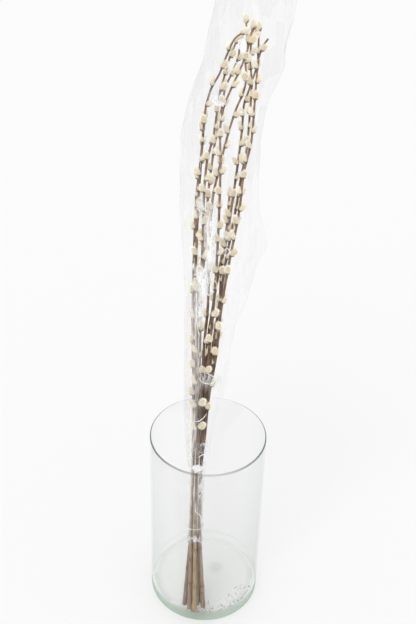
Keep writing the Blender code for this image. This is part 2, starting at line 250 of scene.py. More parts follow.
vase_profile = arc((VASE_RADIUS - VASE_CORNER, VASE_CORNER), VASE_CORNER, -90, 0, CORNER_STEPS)
rim_middle = (VASE_RADIUS - VASE_WALL / 2, VASE_HEIGHT - VASE_WALL / 2)
below_rim = VASE_HEIGHT - RIM_DEPTH
vase_profile += [(VASE_RADIUS, z) for z in np.linspace(VASE_CORNER, below_rim, OUTER_ROWS)[1:]]
vase_profile += arc(rim_middle, VASE_WALL / 2, 0, 180, RIM_STEPS)
first_inner = len(vase_profile)
heel = (VASE_RADIUS - VASE_WALL - VASE_CORNER, VASE_FLOOR + VASE_CORNER)
vase_profile += [(VASE_RADIUS - VASE_WALL, z) for z in np.linspace(below_rim, heel[1], INNER_ROWS)[:-1]]
vase_profile += arc(heel, VASE_CORNER, 0, -90, CORNER_STEPS)
vase_profile += [(r, VASE_FLOOR) for r in np.linspace(heel[0], 0.0, FLOOR_ROWS)[1:-1]]
vase_points = [Vector((0.0, 0.0, 0.0))]
for row, (radius, height) in enumerate(vase_profile):
    for i in range(VASE_SEGMENTS):
        angle = 2.0 * math.pi * i / VASE_SEGMENTS
        out = Vector((math.cos(angle), math.sin(angle), 0.0))
        place = out * radius + Vector((0.0, 0.0, height))
        if row >= first_inner:
            place += out * (noise.noise(place / RIPPLE_SIZE) * RIPPLE_DEPTH)
        vase_points.append(place)
vase_points.append(Vector((0.0, 0.0, VASE_FLOOR)))
vase_piece = new_piece("glass_vase", vase_points, closed_faces(len(vase_profile), VASE_SEGMENTS))

# The thin wall lets nearly all light straight through; the thick foot and rim bend more of it. Seen from
# outside, the foot shows the green of the glass. The rim has a painted dark green shade, most at its left and
# right, where it is seen along its length.
CLEARNESS = {"wall": 0.955, "foot": 0.8, "heel": 0.93, "floor": 0.93, "rim": 0.85}


def vase_part(place):
    """The part of the glass that a place on it belongs to."""
    radius, height = math.hypot(place[0], place[1]), place[2]
    if height > VASE_HEIGHT - VASE_WALL:
        return "rim"
    if height > VASE_FLOOR + VASE_CORNER:
        return "wall"
    if height > TOLERANCE and (radius > rim_middle[0] or height < VASE_CORNER):
        return "foot"
    return "heel" if radius > VASE_RADIUS - VASE_WALL - VASE_CORNER else "floor"


def rim_painted_shade(place):
    """How strongly the rim's painted dark shade shows, from 0 to 1: most at its left and right, least at the
    back.
    """
    if math.hypot(place[0], place[1]) < rim_middle[0] - TOLERANCE:
        return 0.0
    least, power = RIM_BACK if place[1] > 0.0 else RIM_FRONT
    beside = abs(place[0]) / VASE_RADIUS
    return least + (1.0 - least) * beside**power


vase_parts = [vase_part(place) for place in vase_points]
add_value(vase_piece.data, "clearness", [CLEARNESS[part] for part in vase_parts])
# Strength of the rim's painted dark shade at each point
add_value(vase_piece.data, "rim", [rim_painted_shade(place) if part == "rim" else 0.0
                                   for place, part in zip(vase_points, vase_parts)])
for tinted in ("foot", "floor"):
    add_value(vase_piece.data, tinted, [float(part == tinted) for part in vase_parts])

glass, glass_tree = new_material("clear_glass")
glass_place = read_place(glass_tree)
smears = patches(glass_tree, glass_place, 28.0, 0.52, 0.75)
mark_distance = add_node(glass_tree, "VectorMath", {0: glass_place, 1: MOULD_MARK}, operation="DISTANCE")
mould_mark = ranged(glass_tree, mark_distance.outputs["Value"], *MOULD_MARK_EDGE, 1.0, 0.0)
haze = maths(glass_tree, "MAXIMUM", smears, mould_mark)
glass_shader = add_node(glass_tree, "BsdfPrincipled", {
    "Base Color": GLASS_TINT, "Roughness": ranged(glass_tree, haze, 0.0, 1.0, 0.0, 0.02), "IOR": 1.5,
    "Transmission Weight": 1.0})
# Towards its corner the thick floor bends the light away and looks darker, least at the back: a painted shade
# ring
glass_axes = add_node(glass_tree, "SeparateXYZ", {"Vector": glass_place})
flat_place = add_node(glass_tree, "VectorMath", {0: glass_place, 1: (1.0, 1.0, 0.0)}, operation="MULTIPLY")
from_axis = add_node(glass_tree, "VectorMath", {0: flat_place.outputs[0]}, operation="LENGTH")
ring_shade_share = maths(glass_tree, "MULTIPLY", ranged(glass_tree, from_axis.outputs["Value"], *FLOOR_RING),
                   ranged(glass_tree, glass_axes.outputs["Y"], 0.0, VASE_RADIUS, 1.0, RING_FADE))
ring_shaded_floor = mix_colours(glass_tree, ring_shade_share, GLASS_FLOOR_TINT, GLASS_RING_PAINTED_SHADE)
marked_floor = mix_colours(glass_tree, mould_mark, ring_shaded_floor, GLASS_MARK_TINT)
# The wall is seen through more glass at its left and right edges, most near the foot
edge_on_glass = add_node(glass_tree, "LayerWeight", {"Blend": 0.5}).outputs["Facing"]
edge_share = maths(glass_tree, "MULTIPLY", ranged(glass_tree, edge_on_glass, 0.45, 0.95),
                   ranged(glass_tree, glass_axes.outputs["Z"], 0.0, VASE_HEIGHT, 1.0, EDGE_FADE))
from_inside = add_node(glass_tree, "NewGeometry").outputs["Backfacing"]
foot_share = maths(glass_tree, "SUBTRACT", read_value(glass_tree, "foot"), from_inside, clamp=True)
glass_colour = mix_colours(glass_tree, edge_share, GLASS_WALL_TINT, GLASS_EDGE_TINT)
# Floor with its painted shade ring, the green foot, and the rim's painted dark shade
for share, tint in ((read_value(glass_tree, "floor"), marked_floor), (foot_share, GLASS_FOOT_TINT),
                    (read_value(glass_tree, "rim"), GLASS_RIM_PAINTED_SHADE)):
    glass_colour = mix_colours(glass_tree, share, glass_colour, tint)
light_path = add_node(glass_tree, "LightPath").outputs
lamp_ray = maths(glass_tree, "MAXIMUM", light_path["Is Shadow Ray"], light_path["Is Diffuse Ray"])
lamp_share = ranged(glass_tree, lamp_ray, 0.0, 1.0, 0.0, LAMP_CLEARNESS)
see_through = add_node(glass_tree, "BsdfTransparent", {
    "Color": mix_colours(glass_tree, lamp_share, glass_colour, CLEAR)})
straight_share = maths(glass_tree, "MAXIMUM", lamp_ray, read_value(glass_tree, "clearness"))
glass_mix = add_node(glass_tree, "MixShader", {0: straight_share, 1: glass_shader.outputs[0],
                                               2: see_through.outputs[0]})
glass_depth = add_node(glass_tree, "VolumeAbsorption", {"Color": GLASS_DEPTH_TINT, "Density": GLASS_DENSITY})
add_node(glass_tree, "OutputMaterial", {"Surface": glass_mix.outputs[0], "Volume": glass_depth.outputs[0]})
vase_piece.data.materials.append(glass)
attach(vase_piece, "root")
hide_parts("vase")


# Willow stems. Dried shoots of one year's growth, cut across at the foot, tan and grey where they are thick
# and purple-brown above. They stand on the vase floor, run together through the tie and fan out above it.
LEAN = math.radians(23.0)
BUNCH_FOOT = np.array((-12.0, -57.0, 11.0)) * MM
ACROSS = np.array((0.0, 1.0, 0.0))
GAP = 0.3 * MM
STEM_SIDES = 12
AXIS_SPACING = 3.0 * MM
SPLAY_PART = 0.82
# (distance up the bunch, radius) in mm
STEM_TAPER = [(0, 3.2), (50, 2.8), (90, 2.4), (112, 2.25), (200, 2.2), (400, 2.0), (600, 1.75), (800, 1.2)]
# (distance up the bunch in mm, part of that radius). A round shoot is slimmer than its five-sided solid
SLIMMING = ((120, 1.0), (300, 0.88))
BARK_KNOBS = 0.08
KNOBS_ROUND = 2.0
KNOBS_A_METRE = 90.0
BARE_NODES = (34.0 * MM, 78.0 * MM, 139.0 * MM, 188.0 * MM)
BARE_NODE_SHIFT = 26.0 * MM
BARE_NODE_DARKNESS = 0.4
CATKIN_NODE_DARKNESS = 0.8
NODE_SWELL = 0.16
NODE_LENGTH = 2.2 * MM
# Route of each stem as (along, across, depth) in mm from its foot, and its tone from grey-purple to orange
STEM_ROUTES = {
    "stem_01": [(0, -14, -1), (112, -7.1, 0), (200, -7.1, 0), (256, -8, 1.5), (300, -9, 1),
                (367, -10, 0), (434, -11, 0), (500, -10, -1), (565, -9, -2), (609, -7, -3),
                (650, -5, -5), (678, -3, -7), (703, 3, -9), (722, 13, -11), (746, 22, -12),
                (765, 31, -13), (772, 40, -13)],
    "stem_02": [(0, -7, -7), (112, -7.1, -4.8), (200, -7.1, -4.8), (256, -5.5, -6), (300, -5, -7),
                (367, -6, -11), (434, -6, -12), (500, -2, -12), (565, -2, -13), (609, 0, -13),
                (650, 8.5, -8), (697, 14, -5), (722, 20, -4), (746, 26.5, -2), (762, 33, -1)],
    "stem_03": [(0, -13, 7), (112, -7.1, 4.8), (200, -7.1, 4.8), (256, -6, 7.2), (300, -7.5, 7.5),
                (367, -11.5, 10), (434, -13, 11), (500, -13, 12), (565, -12, 12), (609, -8, 12),
                (669, -4, 13)],
    "stem_04": [(0, -4.6, 0.4), (112, -1.7, -2.4), (200, -1.7, -2.4), (256, -2.5, -1), (300, -2, 1.5),
                (367, -2, 5), (434, -3, 8), (500, 1, 10), (565, 3, 10), (629, 9, 9), (679, 17, 9),
                (703, 20.5, 9), (727, 30, 9), (746, 36.5, 9), (764, 38, 9)],
    "stem_05": [(0, 0, -9.8), (112, -1.7, -7.2), (200, -1.7, -7.2), (256, 0, -7), (300, 1.5, -6),
                (367, 3, -5), (434, 7, -4), (500, 6, -2), (565, 9, -1), (604, 16, -1), (650, 26.5, 0),
                (679, 35, 1), (706, 45, 1), (722, 47, -3), (734, 45, -4), (753, 47, -3), (786, 44, -3)],
    "stem_06": [(0, 3, -1), (112, 3.7, 0), (200, 3.7, 0), (256, 4, -2.5), (300, 6, -2),
                (367, 10, -11), (422, 14, -13), (500, 17, -12), (566, 18, -12), (609, 18, -14),
                (654, 16, -15), (679, 19, -15), (707, 29, -15), (732, 40, -14), (757, 48, -15),
                (779, 52, -14)],
    "stem_07": [(0, 5, 11), (112, -1.7, 7.2), (200, -1.7, 7.2), (256, 5, 7), (300, 9, 8), (367, 17, 9),
                (422, 22, 9), (482, 23.5, 9), (521, 30, 9), (566, 35, 10), (611, 40, 11), (657, 44, 12),
                (682, 45, 13), (707, 52, 14), (743, 61, 15), (778, 61, 15)],
    "stem_08": [(0, 9, 4), (112, 3.7, 4.8), (200, 3.7, 4.8), (256, 7, 2), (300, 8.5, 2.5),
                (367, 14, 0), (422, 21, 0), (482, 28, 0), (560, 40, 1), (598, 45, 2), (627, 50, 2),
                (655, 52, 3), (710, 54, 5), (744, 51, 7), (769, 52, 7), (780, 54, 8)],
    "stem_09": [(0, 12, -4.5), (112, 3.7, -4.8), (200, 3.7, -4.8), (256, 8, -5.5), (300, 11, -5),
                (367, 20, -7), (422, 24, -9), (482, 32, -9), (560, 44, -9), (598, 47, -8),
                (646, 56, -8), (713, 59, -7), (741, 61, -5), (759, 67, -5), (766, 72, -4)],
    "stem_10": [(0, -3, 7.5), (112, -1.7, 2.4), (200, -1.7, 2.4), (256, 0, 3.5), (300, 3, 5),
                (367, 7, 12), (434, 15, 17), (482, 22, 18), (534, 29, 19), (571, 31, 19)],
}
STEM_TONES = {"stem_01": 0.15, "stem_02": 0.45, "stem_03": 0.7, "stem_04": 0.6, "stem_05": 0.95,
              "stem_06": 0.8, "stem_07": 0.3, "stem_08": 0.1, "stem_09": 0.4, "stem_10": 0.75}
BARE_TIPS = {"stem_09"}
BARK_PURPLE = (0.150, 0.100, 0.088, 1.0)
BARK_ORANGE = (0.38, 0.215, 0.095, 1.0)
BARK_DEEP = (0.085, 0.045, 0.026, 1.0)
BARK_FOOT_GREY = (0.235, 0.175, 0.14, 1.0)
BARK_FOOT_TAN = (0.40, 0.285, 0.17, 1.0)
# Stretches up the bunch over which one bark gives way to the next
FOOT_BARK_END = (110.0 * MM, 220.0 * MM)
DEEP_BARK_START = (150.0 * MM, 230.0 * MM)
DEEP_BARK_END = (400.0 * MM, 500.0 * MM)
DEEP_BARK_SHARE = 0.5
WEATHERING = 0.45
GRAIN_SHADE = (0.45, 1.45)
LENTICEL_TAN = (0.42, 0.34, 0.26, 1.0)
NODE_BROWN = (0.045, 0.028, 0.02, 1.0)
CUT_WOOD = (0.50, 0.38, 0.24, 1.0)
CUT_WOOD_DARK = (0.27, 0.18, 0.1, 1.0)


def in_vase(points):
    """World places of points given as (along, across, depth) from the foot of the bunch, in metres."""
    along, across, depth = np.moveaxis(np.asarray(points, dtype=float), -1, 0)
    back = along * math.sin(LEAN) + depth * math.cos(LEAN)
    up = along * math.cos(LEAN) - depth * math.sin(LEAN)
    return np.stack([across, back, up], axis=-1) + BUNCH_FOOT


def smooth_values(knots, values, at):
    """Smooth curve through values given at rising knots. Where they turn back or level off, it is level."""
    knots = np.asarray(knots, dtype=float)
    values = np.asarray(values, dtype=float).reshape(len(knots), -1)
    steps = np.diff(knots)[:, None]
    rises = np.diff(values, axis=0) / steps
    before, after = rises[:-1], rises[1:]
    onward = before * after > 0.0
    total = np.where(onward, before + after, 1.0)
    bends = np.where(onward, 2.0 * before * after / total, 0.0)
    slopes = np.concatenate([rises[:1], bends, rises[-1:]])
    i = np.clip(np.searchsorted(knots, at, side="right") - 1, 0, len(knots) - 2)
    step = steps[i]
    t = (np.asarray(at)[:, None] - knots[i][:, None]) / step
    start, end = values[i], values[i + 1]
    lean_in, lean_out = slopes[i] * step, slopes[i + 1] * step
    return (start * (2 * t**3 - 3 * t**2 + 1) + lean_in * (t**3 - 2 * t**2 + t)
            + end * (3 * t**2 - 2 * t**3) + lean_out * (t**3 - t**2))


def stem_radius(along):
    """Radius of a stem at distances along the bunch."""
    places, radii = zip(*STEM_TAPER)
    return np.interp(np.asarray(along) / MM, places, radii) * MM


def stem_axis(name):
    """Points (along, across, depth) every few millimetres along a stem, from the vase floor to its tip."""
    points = np.array(STEM_ROUTES[name], dtype=float) * MM
    foot_lift = float(stem_radius(0.0)) * math.sin(LEAN) + GAP
    points[0, 0] = (points[0, 2] * math.sin(LEAN) + foot_lift) / math.cos(LEAN)
    points = np.insert(points, 1, points[0] + (points[1] - points[0]) * SPLAY_PART, axis=0)
    lengths = np.linalg.norm(np.diff(points, axis=0), axis=1)
    knots = np.concatenate([[0.0], np.cumsum(lengths)])
    places = [0.0]
    for start, length in zip(knots, lengths):
        steps = math.ceil(length / AXIS_SPACING)
        places += [start + length * (i + 1) / steps for i in range(steps)]
    return smooth_values(knots, points, places)


def unit(vectors):
    """The same directions, each of length 1."""
    return vectors / np.linalg.norm(vectors, axis=-1, keepdims=True)


def side_ways(ways):
    """Two directions square to each given one."""
    side = unit(ACROSS - ways * (ways @ ACROSS)[..., None])
    return side, np.cross(ways, side)


STEMS = sorted(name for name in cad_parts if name.startswith("stem_"))
axes = {name: stem_axis(name) for name in STEMS}
runs = {name: np.concatenate([[0.0], np.cumsum(np.linalg.norm(np.diff(axis, axis=0), axis=1))])
        for name, axis in axes.items()}

# Catkins spiral up a stem by the same seeded rule as the solids, each turned about the stem until it is clear
# of the other stems, of other catkins and of the film.
CATKIN_LENGTH = 13.0 * MM
CATKIN_RADIUS = 4.1 * MM
CATKIN_ROOT = -0.8 * MM
CATKIN_SIZES = (0.86, 1.08)
CATKIN_LEAN = math.radians(36.0)
CATKIN_LEAN_SPREAD = math.radians(10.0)
CATKIN_TURN = math.radians(137.5)
CATKIN_TURN_SPREAD = math.radians(18.0)
CATKIN_FIRST = 228.0 * MM
CATKIN_FIRST_SPREAD = 80.0 * MM
CATKIN_LAST = 9.0 * MM
CATKIN_DENSE_FROM = 440.0 * MM
CATKIN_SPACING_LOW = 38.0 * MM
CATKIN_SPACING_HIGH = 21.0 * MM
CATKIN_SPACING_SPREAD = (0.8, 1.2)
TIP_CATKIN_SINK = 2.0 * MM
CATKIN_TRIES = 12
CATKIN_TRY_TURN = math.radians(31.0)
CATKIN_CLEARANCE = 0.6 * MM
CATKIN_MARKS = (5.0 * MM, 7.5 * MM, 10.0 * MM)
SEED = 23
# Film sleeve: (along, left edge, right edge, front edge, back edge) in mm
SLEEVE_SECTIONS = [(97, -12.9, 9.4, -11.3, 11.3), (112, -11.1, 7.7, -10.4, 10.4),
                   (156, -11.4, 8.4, -10.6, 10.4), (196, -12, 10, -11.5, 10.8),
                   (226, -17, 15, -16, 11.6), (262, -20, 19, -19, 12), (299, -22, 30, -19, 12),
                   (335, -23, 37, -19, 16), (367, -24, 40, -22, 20), (401, -25, 45, -24, 24),
                   (435, -26, 58, -27, 27), (475, -29, 68, -28, 29), (513, -33, 82, -29, 31),
                   (558, -36, 70, -30, 31), (614, -37, 68, -30, 29), (652, -35, 70, -30, 28),
                   (691, -26, 78, -30, 28), (728, -13, 94, -30, 28), (760, -6, 99, -29, 28),
                   (800, 3, 107, -27, 27), (840, 10, 114, -24, 24)]
SLEEVE_THICKNESS = 0.6 * MM
SLEEVE_SQUARENESS = 2.6
SLEEVE_TIGHT_TO = 300.0 * MM
SLEEVE_LOOSENING = 150.0 * MM
SLEEVE_FLUTES = 5
SLEEVE_FLUTE_DEPTH = 0.06
SLEEVE_FLUTE_DRIFT = 9.0


def sleeve_section(along):
    """Middle (across, depth), half width and half depth of the sleeve at distances along the bunch."""
    places, *edges = (np.array(row) * MM for row in zip(*SLEEVE_SECTIONS))
    at = np.clip(np.atleast_1d(along), places[0], places[-1])
    left, right, front, back = smooth_values(places, np.transpose(edges), at).T
    middle = np.stack([(left + right) / 2, (front + back) / 2], axis=-1)
    return middle, (right - left) / 2, (back - front) / 2


def film_looseness(along):
    """How loosely the film stands round the bunch, from 0 at the tie to 1 above."""
    return np.clip((along - SLEEVE_TIGHT_TO) / SLEEVE_LOOSENING, 0.0, 1.0)


def fits_in_sleeve(point, radius):
    """Whether a ball round a point is clear of the film."""
    middle, half_width, half_depth = (value[0] for value in sleeve_section(point[0]))
    narrowest = 1.0 - SLEEVE_FLUTE_DEPTH * film_looseness(point[0])
    reach = radius + CATKIN_CLEARANCE
    x = (abs(point[1] - middle[0]) + reach) / ((half_width - SLEEVE_THICKNESS) * narrowest)
    y = (abs(point[2] - middle[1]) + reach) / ((half_depth - SLEEVE_THICKNESS) * narrowest)
    return x**SLEEVE_SQUARENESS + y**SLEEVE_SQUARENESS <= 1.0


def nearest(point, others):
    """Distance to the nearest of other points."""
    return float(np.min(np.linalg.norm(others - point, axis=1)))


def catkin_marks(root, way, size):
    """Points up the middle of a catkin, which stand for it where room is tested."""
    return [root + way * (reach * size) for reach in CATKIN_MARKS]


def has_room(marks, radius, stem, other_stems, taken):
    """Whether a catkin is clear of the other stems, of the catkins placed so far and of the film."""
    room = radius + CATKIN_CLEARANCE
    if min(nearest(mark, other_stems) for mark in marks) < room + stem:
        return False
    if taken and min(nearest(mark, np.array(taken)) for mark in marks) < room + radius:
        return False
    return all(fits_in_sleeve(mark, radius) for mark in marks)


def place_catkins():
    """Root, direction, size and distance up the stem of every catkin, by stem."""
    draw = random.Random(SEED)
    taken = []
    placed = {}
    for name, axis in axes.items():
        others = np.concatenate([a for other, a in axes.items() if other != name])
        ways, lengths = unit(np.gradient(axis, axis=0)), runs[name]
        placed[name] = []
        turn = draw.uniform(0.0, 2.0 * math.pi)
        place = CATKIN_FIRST + draw.uniform(0.0, CATKIN_FIRST_SPREAD)
        while place < lengths[-1] - CATKIN_LAST:
            i = int(np.searchsorted(lengths, place))
            root, up = axis[i], ways[i]
            size = draw.uniform(*CATKIN_SIZES)
            lean = CATKIN_LEAN + draw.uniform(-CATKIN_LEAN_SPREAD, CATKIN_LEAN_SPREAD)
            turn += CATKIN_TURN + draw.uniform(-CATKIN_TURN_SPREAD, CATKIN_TURN_SPREAD)
            side, other = side_ways(up)
            for attempt in range(CATKIN_TRIES):
                angle = turn + attempt * CATKIN_TRY_TURN
                out = side * math.cos(angle) + other * math.sin(angle)
                way = unit(up * math.cos(lean) + out * math.sin(lean))
                marks = catkin_marks(root, way, size)
                if has_room(marks, CATKIN_RADIUS * size, float(stem_radius(root[0])), others, taken):
                    placed[name].append((root, way, size, up, lengths[i]))
                    taken.extend(marks)
                    break
            spacing = CATKIN_SPACING_LOW if place < CATKIN_DENSE_FROM else CATKIN_SPACING_HIGH
            place += spacing * draw.uniform(*CATKIN_SPACING_SPREAD)
        if name not in BARE_TIPS:
            tip = axis[-1] - ways[-1] * TIP_CATKIN_SINK
            placed[name].append((tip, ways[-1], 1.0, ways[-1], lengths[-1]))
            taken.extend(catkin_marks(tip, ways[-1], 1.0))
    return placed


catkins = place_catkins()


# Grain, wrinkles and creases all run along the leaning bunch: object places turned upright and drawn out
along_tree, along_in, along_out = new_group(
    "along_bunch", [("Stretch", "Float", 10.0)], [("Vector", "Vector"), ("Upright", "Vector")])
upright = add_node(along_tree, "Mapping", {"Vector": read_place(along_tree), "Rotation": (LEAN, 0.0, 0.0)})
stretch_by = add_node(along_tree, "CombineXYZ", {
    "X": 1.0, "Y": 1.0, "Z": maths(along_tree, "DIVIDE", 1.0, along_in["Stretch"])})
drawn_out = add_node(along_tree, "VectorMath", {0: upright.outputs[0], 1: stretch_by.outputs[0]},
                     operation="MULTIPLY")
along_tree.links.new(drawn_out.outputs[0], along_out["Vector"])
along_tree.links.new(upright.outputs[0], along_out["Upright"])


def along_bunch(tree, stretch):
    """Outputs with the place drawn out along the bunch by a factor, and with the upright place itself."""
    made = add_node(tree, "Group", {"Stretch": stretch}, node_tree=along_tree)
    return made.outputs["Vector"], made.outputs["Upright"]


bark, bark_tree = new_material("willow_bark")
grain_place, bark_place = along_bunch(bark_tree, 14.0)
tone_drift = patches(bark_tree, bark_place, 34.0, 0.3, 0.7)
stem_tone = read_value(bark_tree, "tone")
tone = maths(bark_tree, "MULTIPLY", maths(bark_tree, "ADD", stem_tone, tone_drift), 0.5)
upper_bark = mix_colours(bark_tree, tone, BARK_PURPLE, BARK_ORANGE)
lower_bark = mix_colours(bark_tree, stem_tone, BARK_FOOT_GREY, BARK_FOOT_TAN)
up_stem = read_value(bark_tree, "height")
above_foot = ranged(bark_tree, up_stem, *FOOT_BARK_END)
deep_share = maths(bark_tree, "MULTIPLY",
                   ranged(bark_tree, up_stem, *DEEP_BARK_START, 0.0, DEEP_BARK_SHARE),
                   ranged(bark_tree, up_stem, *DEEP_BARK_END, 1.0, 0.0))
deep_bark = mix_colours(bark_tree, deep_share, upper_bark, BARK_DEEP)
plain_bark = mix_colours(bark_tree, above_foot, lower_bark, deep_bark)
grain = fine_noise(bark_tree, grain_place, 1100.0, detail=4.0, roughness=0.6)
weather_patches = patches(bark_tree, bark_place, 75.0, 0.35, 0.65)
weathered = maths(bark_tree, "MULTIPLY_ADD",
                  ranged(bark_tree, weather_patches, 0.0, 1.0, -WEATHERING, WEATHERING), above_foot, 1.0)
shade = maths(bark_tree, "MULTIPLY", ranged(bark_tree, grain, 0.3, 0.7, *GRAIN_SHADE), weathered)
shade_grey = add_node(bark_tree, "CombineColor", {0: shade, 1: shade, 2: shade}).outputs[0]
streaked = mix_colours(bark_tree, 1.0, plain_bark, shade_grey, "MULTIPLY")
lenticel_dots = add_node(bark_tree, "TexVoronoi", {"Vector": bark_place, "Scale": 330.0}).outputs["Distance"]
lenticels = ranged(bark_tree, lenticel_dots, 0.1, 0.24, 1.0, 0.0)
dotted = mix_colours(bark_tree, maths(bark_tree, "MULTIPLY", lenticels, tone_drift), streaked, LENTICEL_TAN)
noded = mix_colours(bark_tree, read_value(bark_tree, "node"), dotted, NODE_BROWN)
bark_relief = maths(bark_tree, "MULTIPLY_ADD", lenticels, 0.5, grain)
set_finish(bark_tree, {
    "Base Color": noded, "Roughness": ranged(bark_tree, grain, 0.2, 0.8, 0.5, 0.75),
    "Specular IOR Level": 0.35, "Normal": relief(bark_tree, bark_relief, 0.55, 0.25 * MM)})

cut_wood, cut_tree = new_material("cut_wood")
cut_fibres = fine_noise(cut_tree, read_place(cut_tree), 2400.0, detail=3.0)
cut_colour = mix_colours(cut_tree, ranged(cut_tree, cut_fibres, 0.35, 0.65), CUT_WOOD_DARK, CUT_WOOD)
set_finish(cut_tree, {"Base Color": cut_colour, "Roughness": 0.85,
                      "Normal": relief(cut_tree, cut_fibres, 0.5, 0.2 * MM)})

node_draw = random.Random(SEED)
for name in STEMS:
    axis, run = axes[name], runs[name]
    side, other = side_ways(unit(np.gradient(axis, axis=0)))
    bare_places = np.array([place + node_draw.uniform(-1.0, 1.0) * BARE_NODE_SHIFT for place in BARE_NODES])
    catkin_places = np.array([place for *_, place in catkins[name]])
    bare_mask, catkin_mask = (np.exp(-((run[:, None] - places) / NODE_LENGTH) ** 2).max(axis=1)
                              for places in (bare_places, catkin_places))
    node_mask = np.maximum(bare_mask, catkin_mask)
    darkness = np.maximum(bare_mask * BARE_NODE_DARKNESS, catkin_mask * CATKIN_NODE_DARKNESS)
    slimming = np.interp(axis[:, 0] / MM, *zip(*SLIMMING))
    radius = stem_radius(axis[:, 0]) * slimming * (1.0 + NODE_SWELL * node_mask)
    points = [in_vase(axis[0])]
    for centre, r, a, b, reach in zip(axis, radius, side, other, run):
        for i in range(STEM_SIDES):
            angle = 2.0 * math.pi * i / STEM_SIDES
            out = a * math.cos(angle) + b * math.sin(angle)
            knob = noise.noise(Vector((KNOBS_ROUND * math.cos(angle), KNOBS_ROUND * math.sin(angle),
                                       reach * KNOBS_A_METRE)))
            points.append(in_vase(centre + out * (r * (1.0 + BARK_KNOBS * knob))))
    points.append(in_vase(axis[-1]))
    stem_piece = new_piece("willow_" + name, points, closed_faces(len(axis), STEM_SIDES), bark, cut_wood)
    mesh = stem_piece.data
    cut_ends = [polygon for polygon in mesh.polygons if len(polygon.vertices) == 3]
    for polygon in cut_ends[:STEM_SIDES] + (cut_ends[STEM_SIDES:] if name in BARE_TIPS else []):
        polygon.material_index = 1
        polygon.use_smooth = False
    heights = np.concatenate([axis[:1, 0], np.repeat(axis[:, 0], STEM_SIDES), axis[-1:, 0]])
    add_value(mesh, "height", heights)
    add_value(mesh, "tone", np.full(len(heights), STEM_TONES[name]))
    add_value(mesh, "node", np.concatenate([[0.0], np.repeat(darkness, STEM_SIDES), [0.0]]))
    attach(stem_piece, "root")
    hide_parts(name)


# Catkins. Each is an egg of packed flower buds under long silky cream hairs, which all lie up and out towards
# its tip. It grows straight out of the bark, and the dried ones are a little yellow or tan at the root.
CATKIN_SIDES = 12
CATKIN_ROWS = 9
CATKIN_CORE = 0.86
CATKIN_FULLNESS = (0.85, 0.5)
HAIRS = 2000
HAIR_KINDS = 5
HAIR_LENGTHS = (1.3 * MM, 2.2 * MM)
HAIR_WIDTH = 0.22 * MM
HAIR_SPREAD = (0.1, 0.42)
# Painted light of each hair: body hairs, a share of darker ones, and the fringe at full light
HAIR_LIGHT = 0.55
DARK_HAIRS = 0.3
DARK_LIGHT = 0.1
FRINGE_SHARE = 0.55
FRINGE_LENGTHS = (2.4 * MM, 4.8 * MM)
FRINGE_WIDTH = 0.2 * MM
FRINGE_SPREAD = (0.6, 1.6)
HAIR_PLACES = (0.02, 0.97)
HAIR_SHORTER_AT_TIP = 0.35
HAIR_SINK = 0.97
HAIR_SWERVE = 0.16
HAIR_REACH = 0.25
# Part of a hair's painted light that its root gets, a painted shade of the coat on itself
HAIR_ROOT_LIGHT = 0.5
# Where up the catkin its hairs begin to close in over the tip, how fast and how far
HAIR_CLOSING = (0.45, 1.6, 0.4)
# Where up the catkin its coat faces straight out, and how fast it turns up and down from there; these ways
# set where the coat is painted pale
COAT_MIDDLE = 0.42
COAT_ROUNDNESS = 2.2
CORE_MIDDLE = 0.45
HAIR_SHADOW = 0.25
SILK_ROOT = (0.42, 0.30, 0.17, 1.0)
# SILK_SHADE is the catkins' tan, and also the painted shade of the hair roots and of the coat's middle
SILK_SHADE = (0.62, 0.55, 0.38, 1.0)
SILK_TIP = (0.99, 0.985, 0.96, 1.0)
SILK_YELLOW = (0.95, 0.90, 0.80, 1.0)
# Power that leaves most catkins pale and makes a few of them yellow
MOSTLY_PALE = 2.2


def catkin_width(part):
    """Width of a catkin, from 0 to 1, at a part of its length."""
    power, fullness = CATKIN_FULLNESS
    return np.sin(math.pi * part**power) ** fullness


def hair_coat(draw):
    """A catkin's hairs in its own directions: their corners, which way the coat faces there, how far up the
    catkin each corner is, and how much painted light it gets."""
    part = draw.uniform(*HAIR_PLACES, HAIRS)
    angle = draw.uniform(0.0, 2.0 * math.pi, HAIRS)
    fringe = draw.uniform(0.0, 1.0, HAIRS) < FRINGE_SHARE
    length = np.where(fringe, draw.uniform(*FRINGE_LENGTHS, HAIRS), draw.uniform(*HAIR_LENGTHS, HAIRS))
    length *= 1.0 - HAIR_SHORTER_AT_TIP * part
    spread = np.where(fringe, draw.uniform(*FRINGE_SPREAD, HAIRS), draw.uniform(*HAIR_SPREAD, HAIRS))
    width = catkin_width(part)
    out = np.stack([np.cos(angle), np.sin(angle), np.zeros(HAIRS)], axis=-1)
    around = np.stack([-np.sin(angle), np.cos(angle), np.zeros(HAIRS)], axis=-1)
    up = np.array((0.0, 0.0, 1.0))
    core = CATKIN_RADIUS * CATKIN_CORE
    root = out * (core * width)[:, None] * HAIR_SINK + up * (CATKIN_ROOT + part * CATKIN_LENGTH)[:, None]
    closing_from, closing_speed, closing = HAIR_CLOSING
    slope = np.clip((part - closing_from) * closing_speed, 0.0, 1.0)[:, None]
    swerve = around * draw.normal(0.0, HAIR_SWERVE, HAIRS)[:, None]
    way = unit(out * (spread[:, None] * (1.0 - closing * slope)) + up + swerve)
    half = around * (np.where(fringe, FRINGE_WIDTH, HAIR_WIDTH) / 2)[:, None]
    corners = np.stack([root - half, root + half, root + way * length[:, None]], axis=1)
    reached = np.stack([part, part, np.minimum(1.0, part + HAIR_REACH)], axis=1)
    light = np.where(draw.uniform(0.0, 1.0, HAIRS) < DARK_HAIRS, DARK_LIGHT, HAIR_LIGHT)
    light = np.where(fringe, 1.0, light)
    depth = np.stack([light * HAIR_ROOT_LIGHT, light * HAIR_ROOT_LIGHT, light], axis=1)
    outward = np.repeat(unit(out + up * ((part - COAT_MIDDLE) * COAT_ROUNDNESS)[:, None]), 3, axis=0)
    return corners.reshape(-1, 3), outward, reached.reshape(-1), depth.reshape(-1)


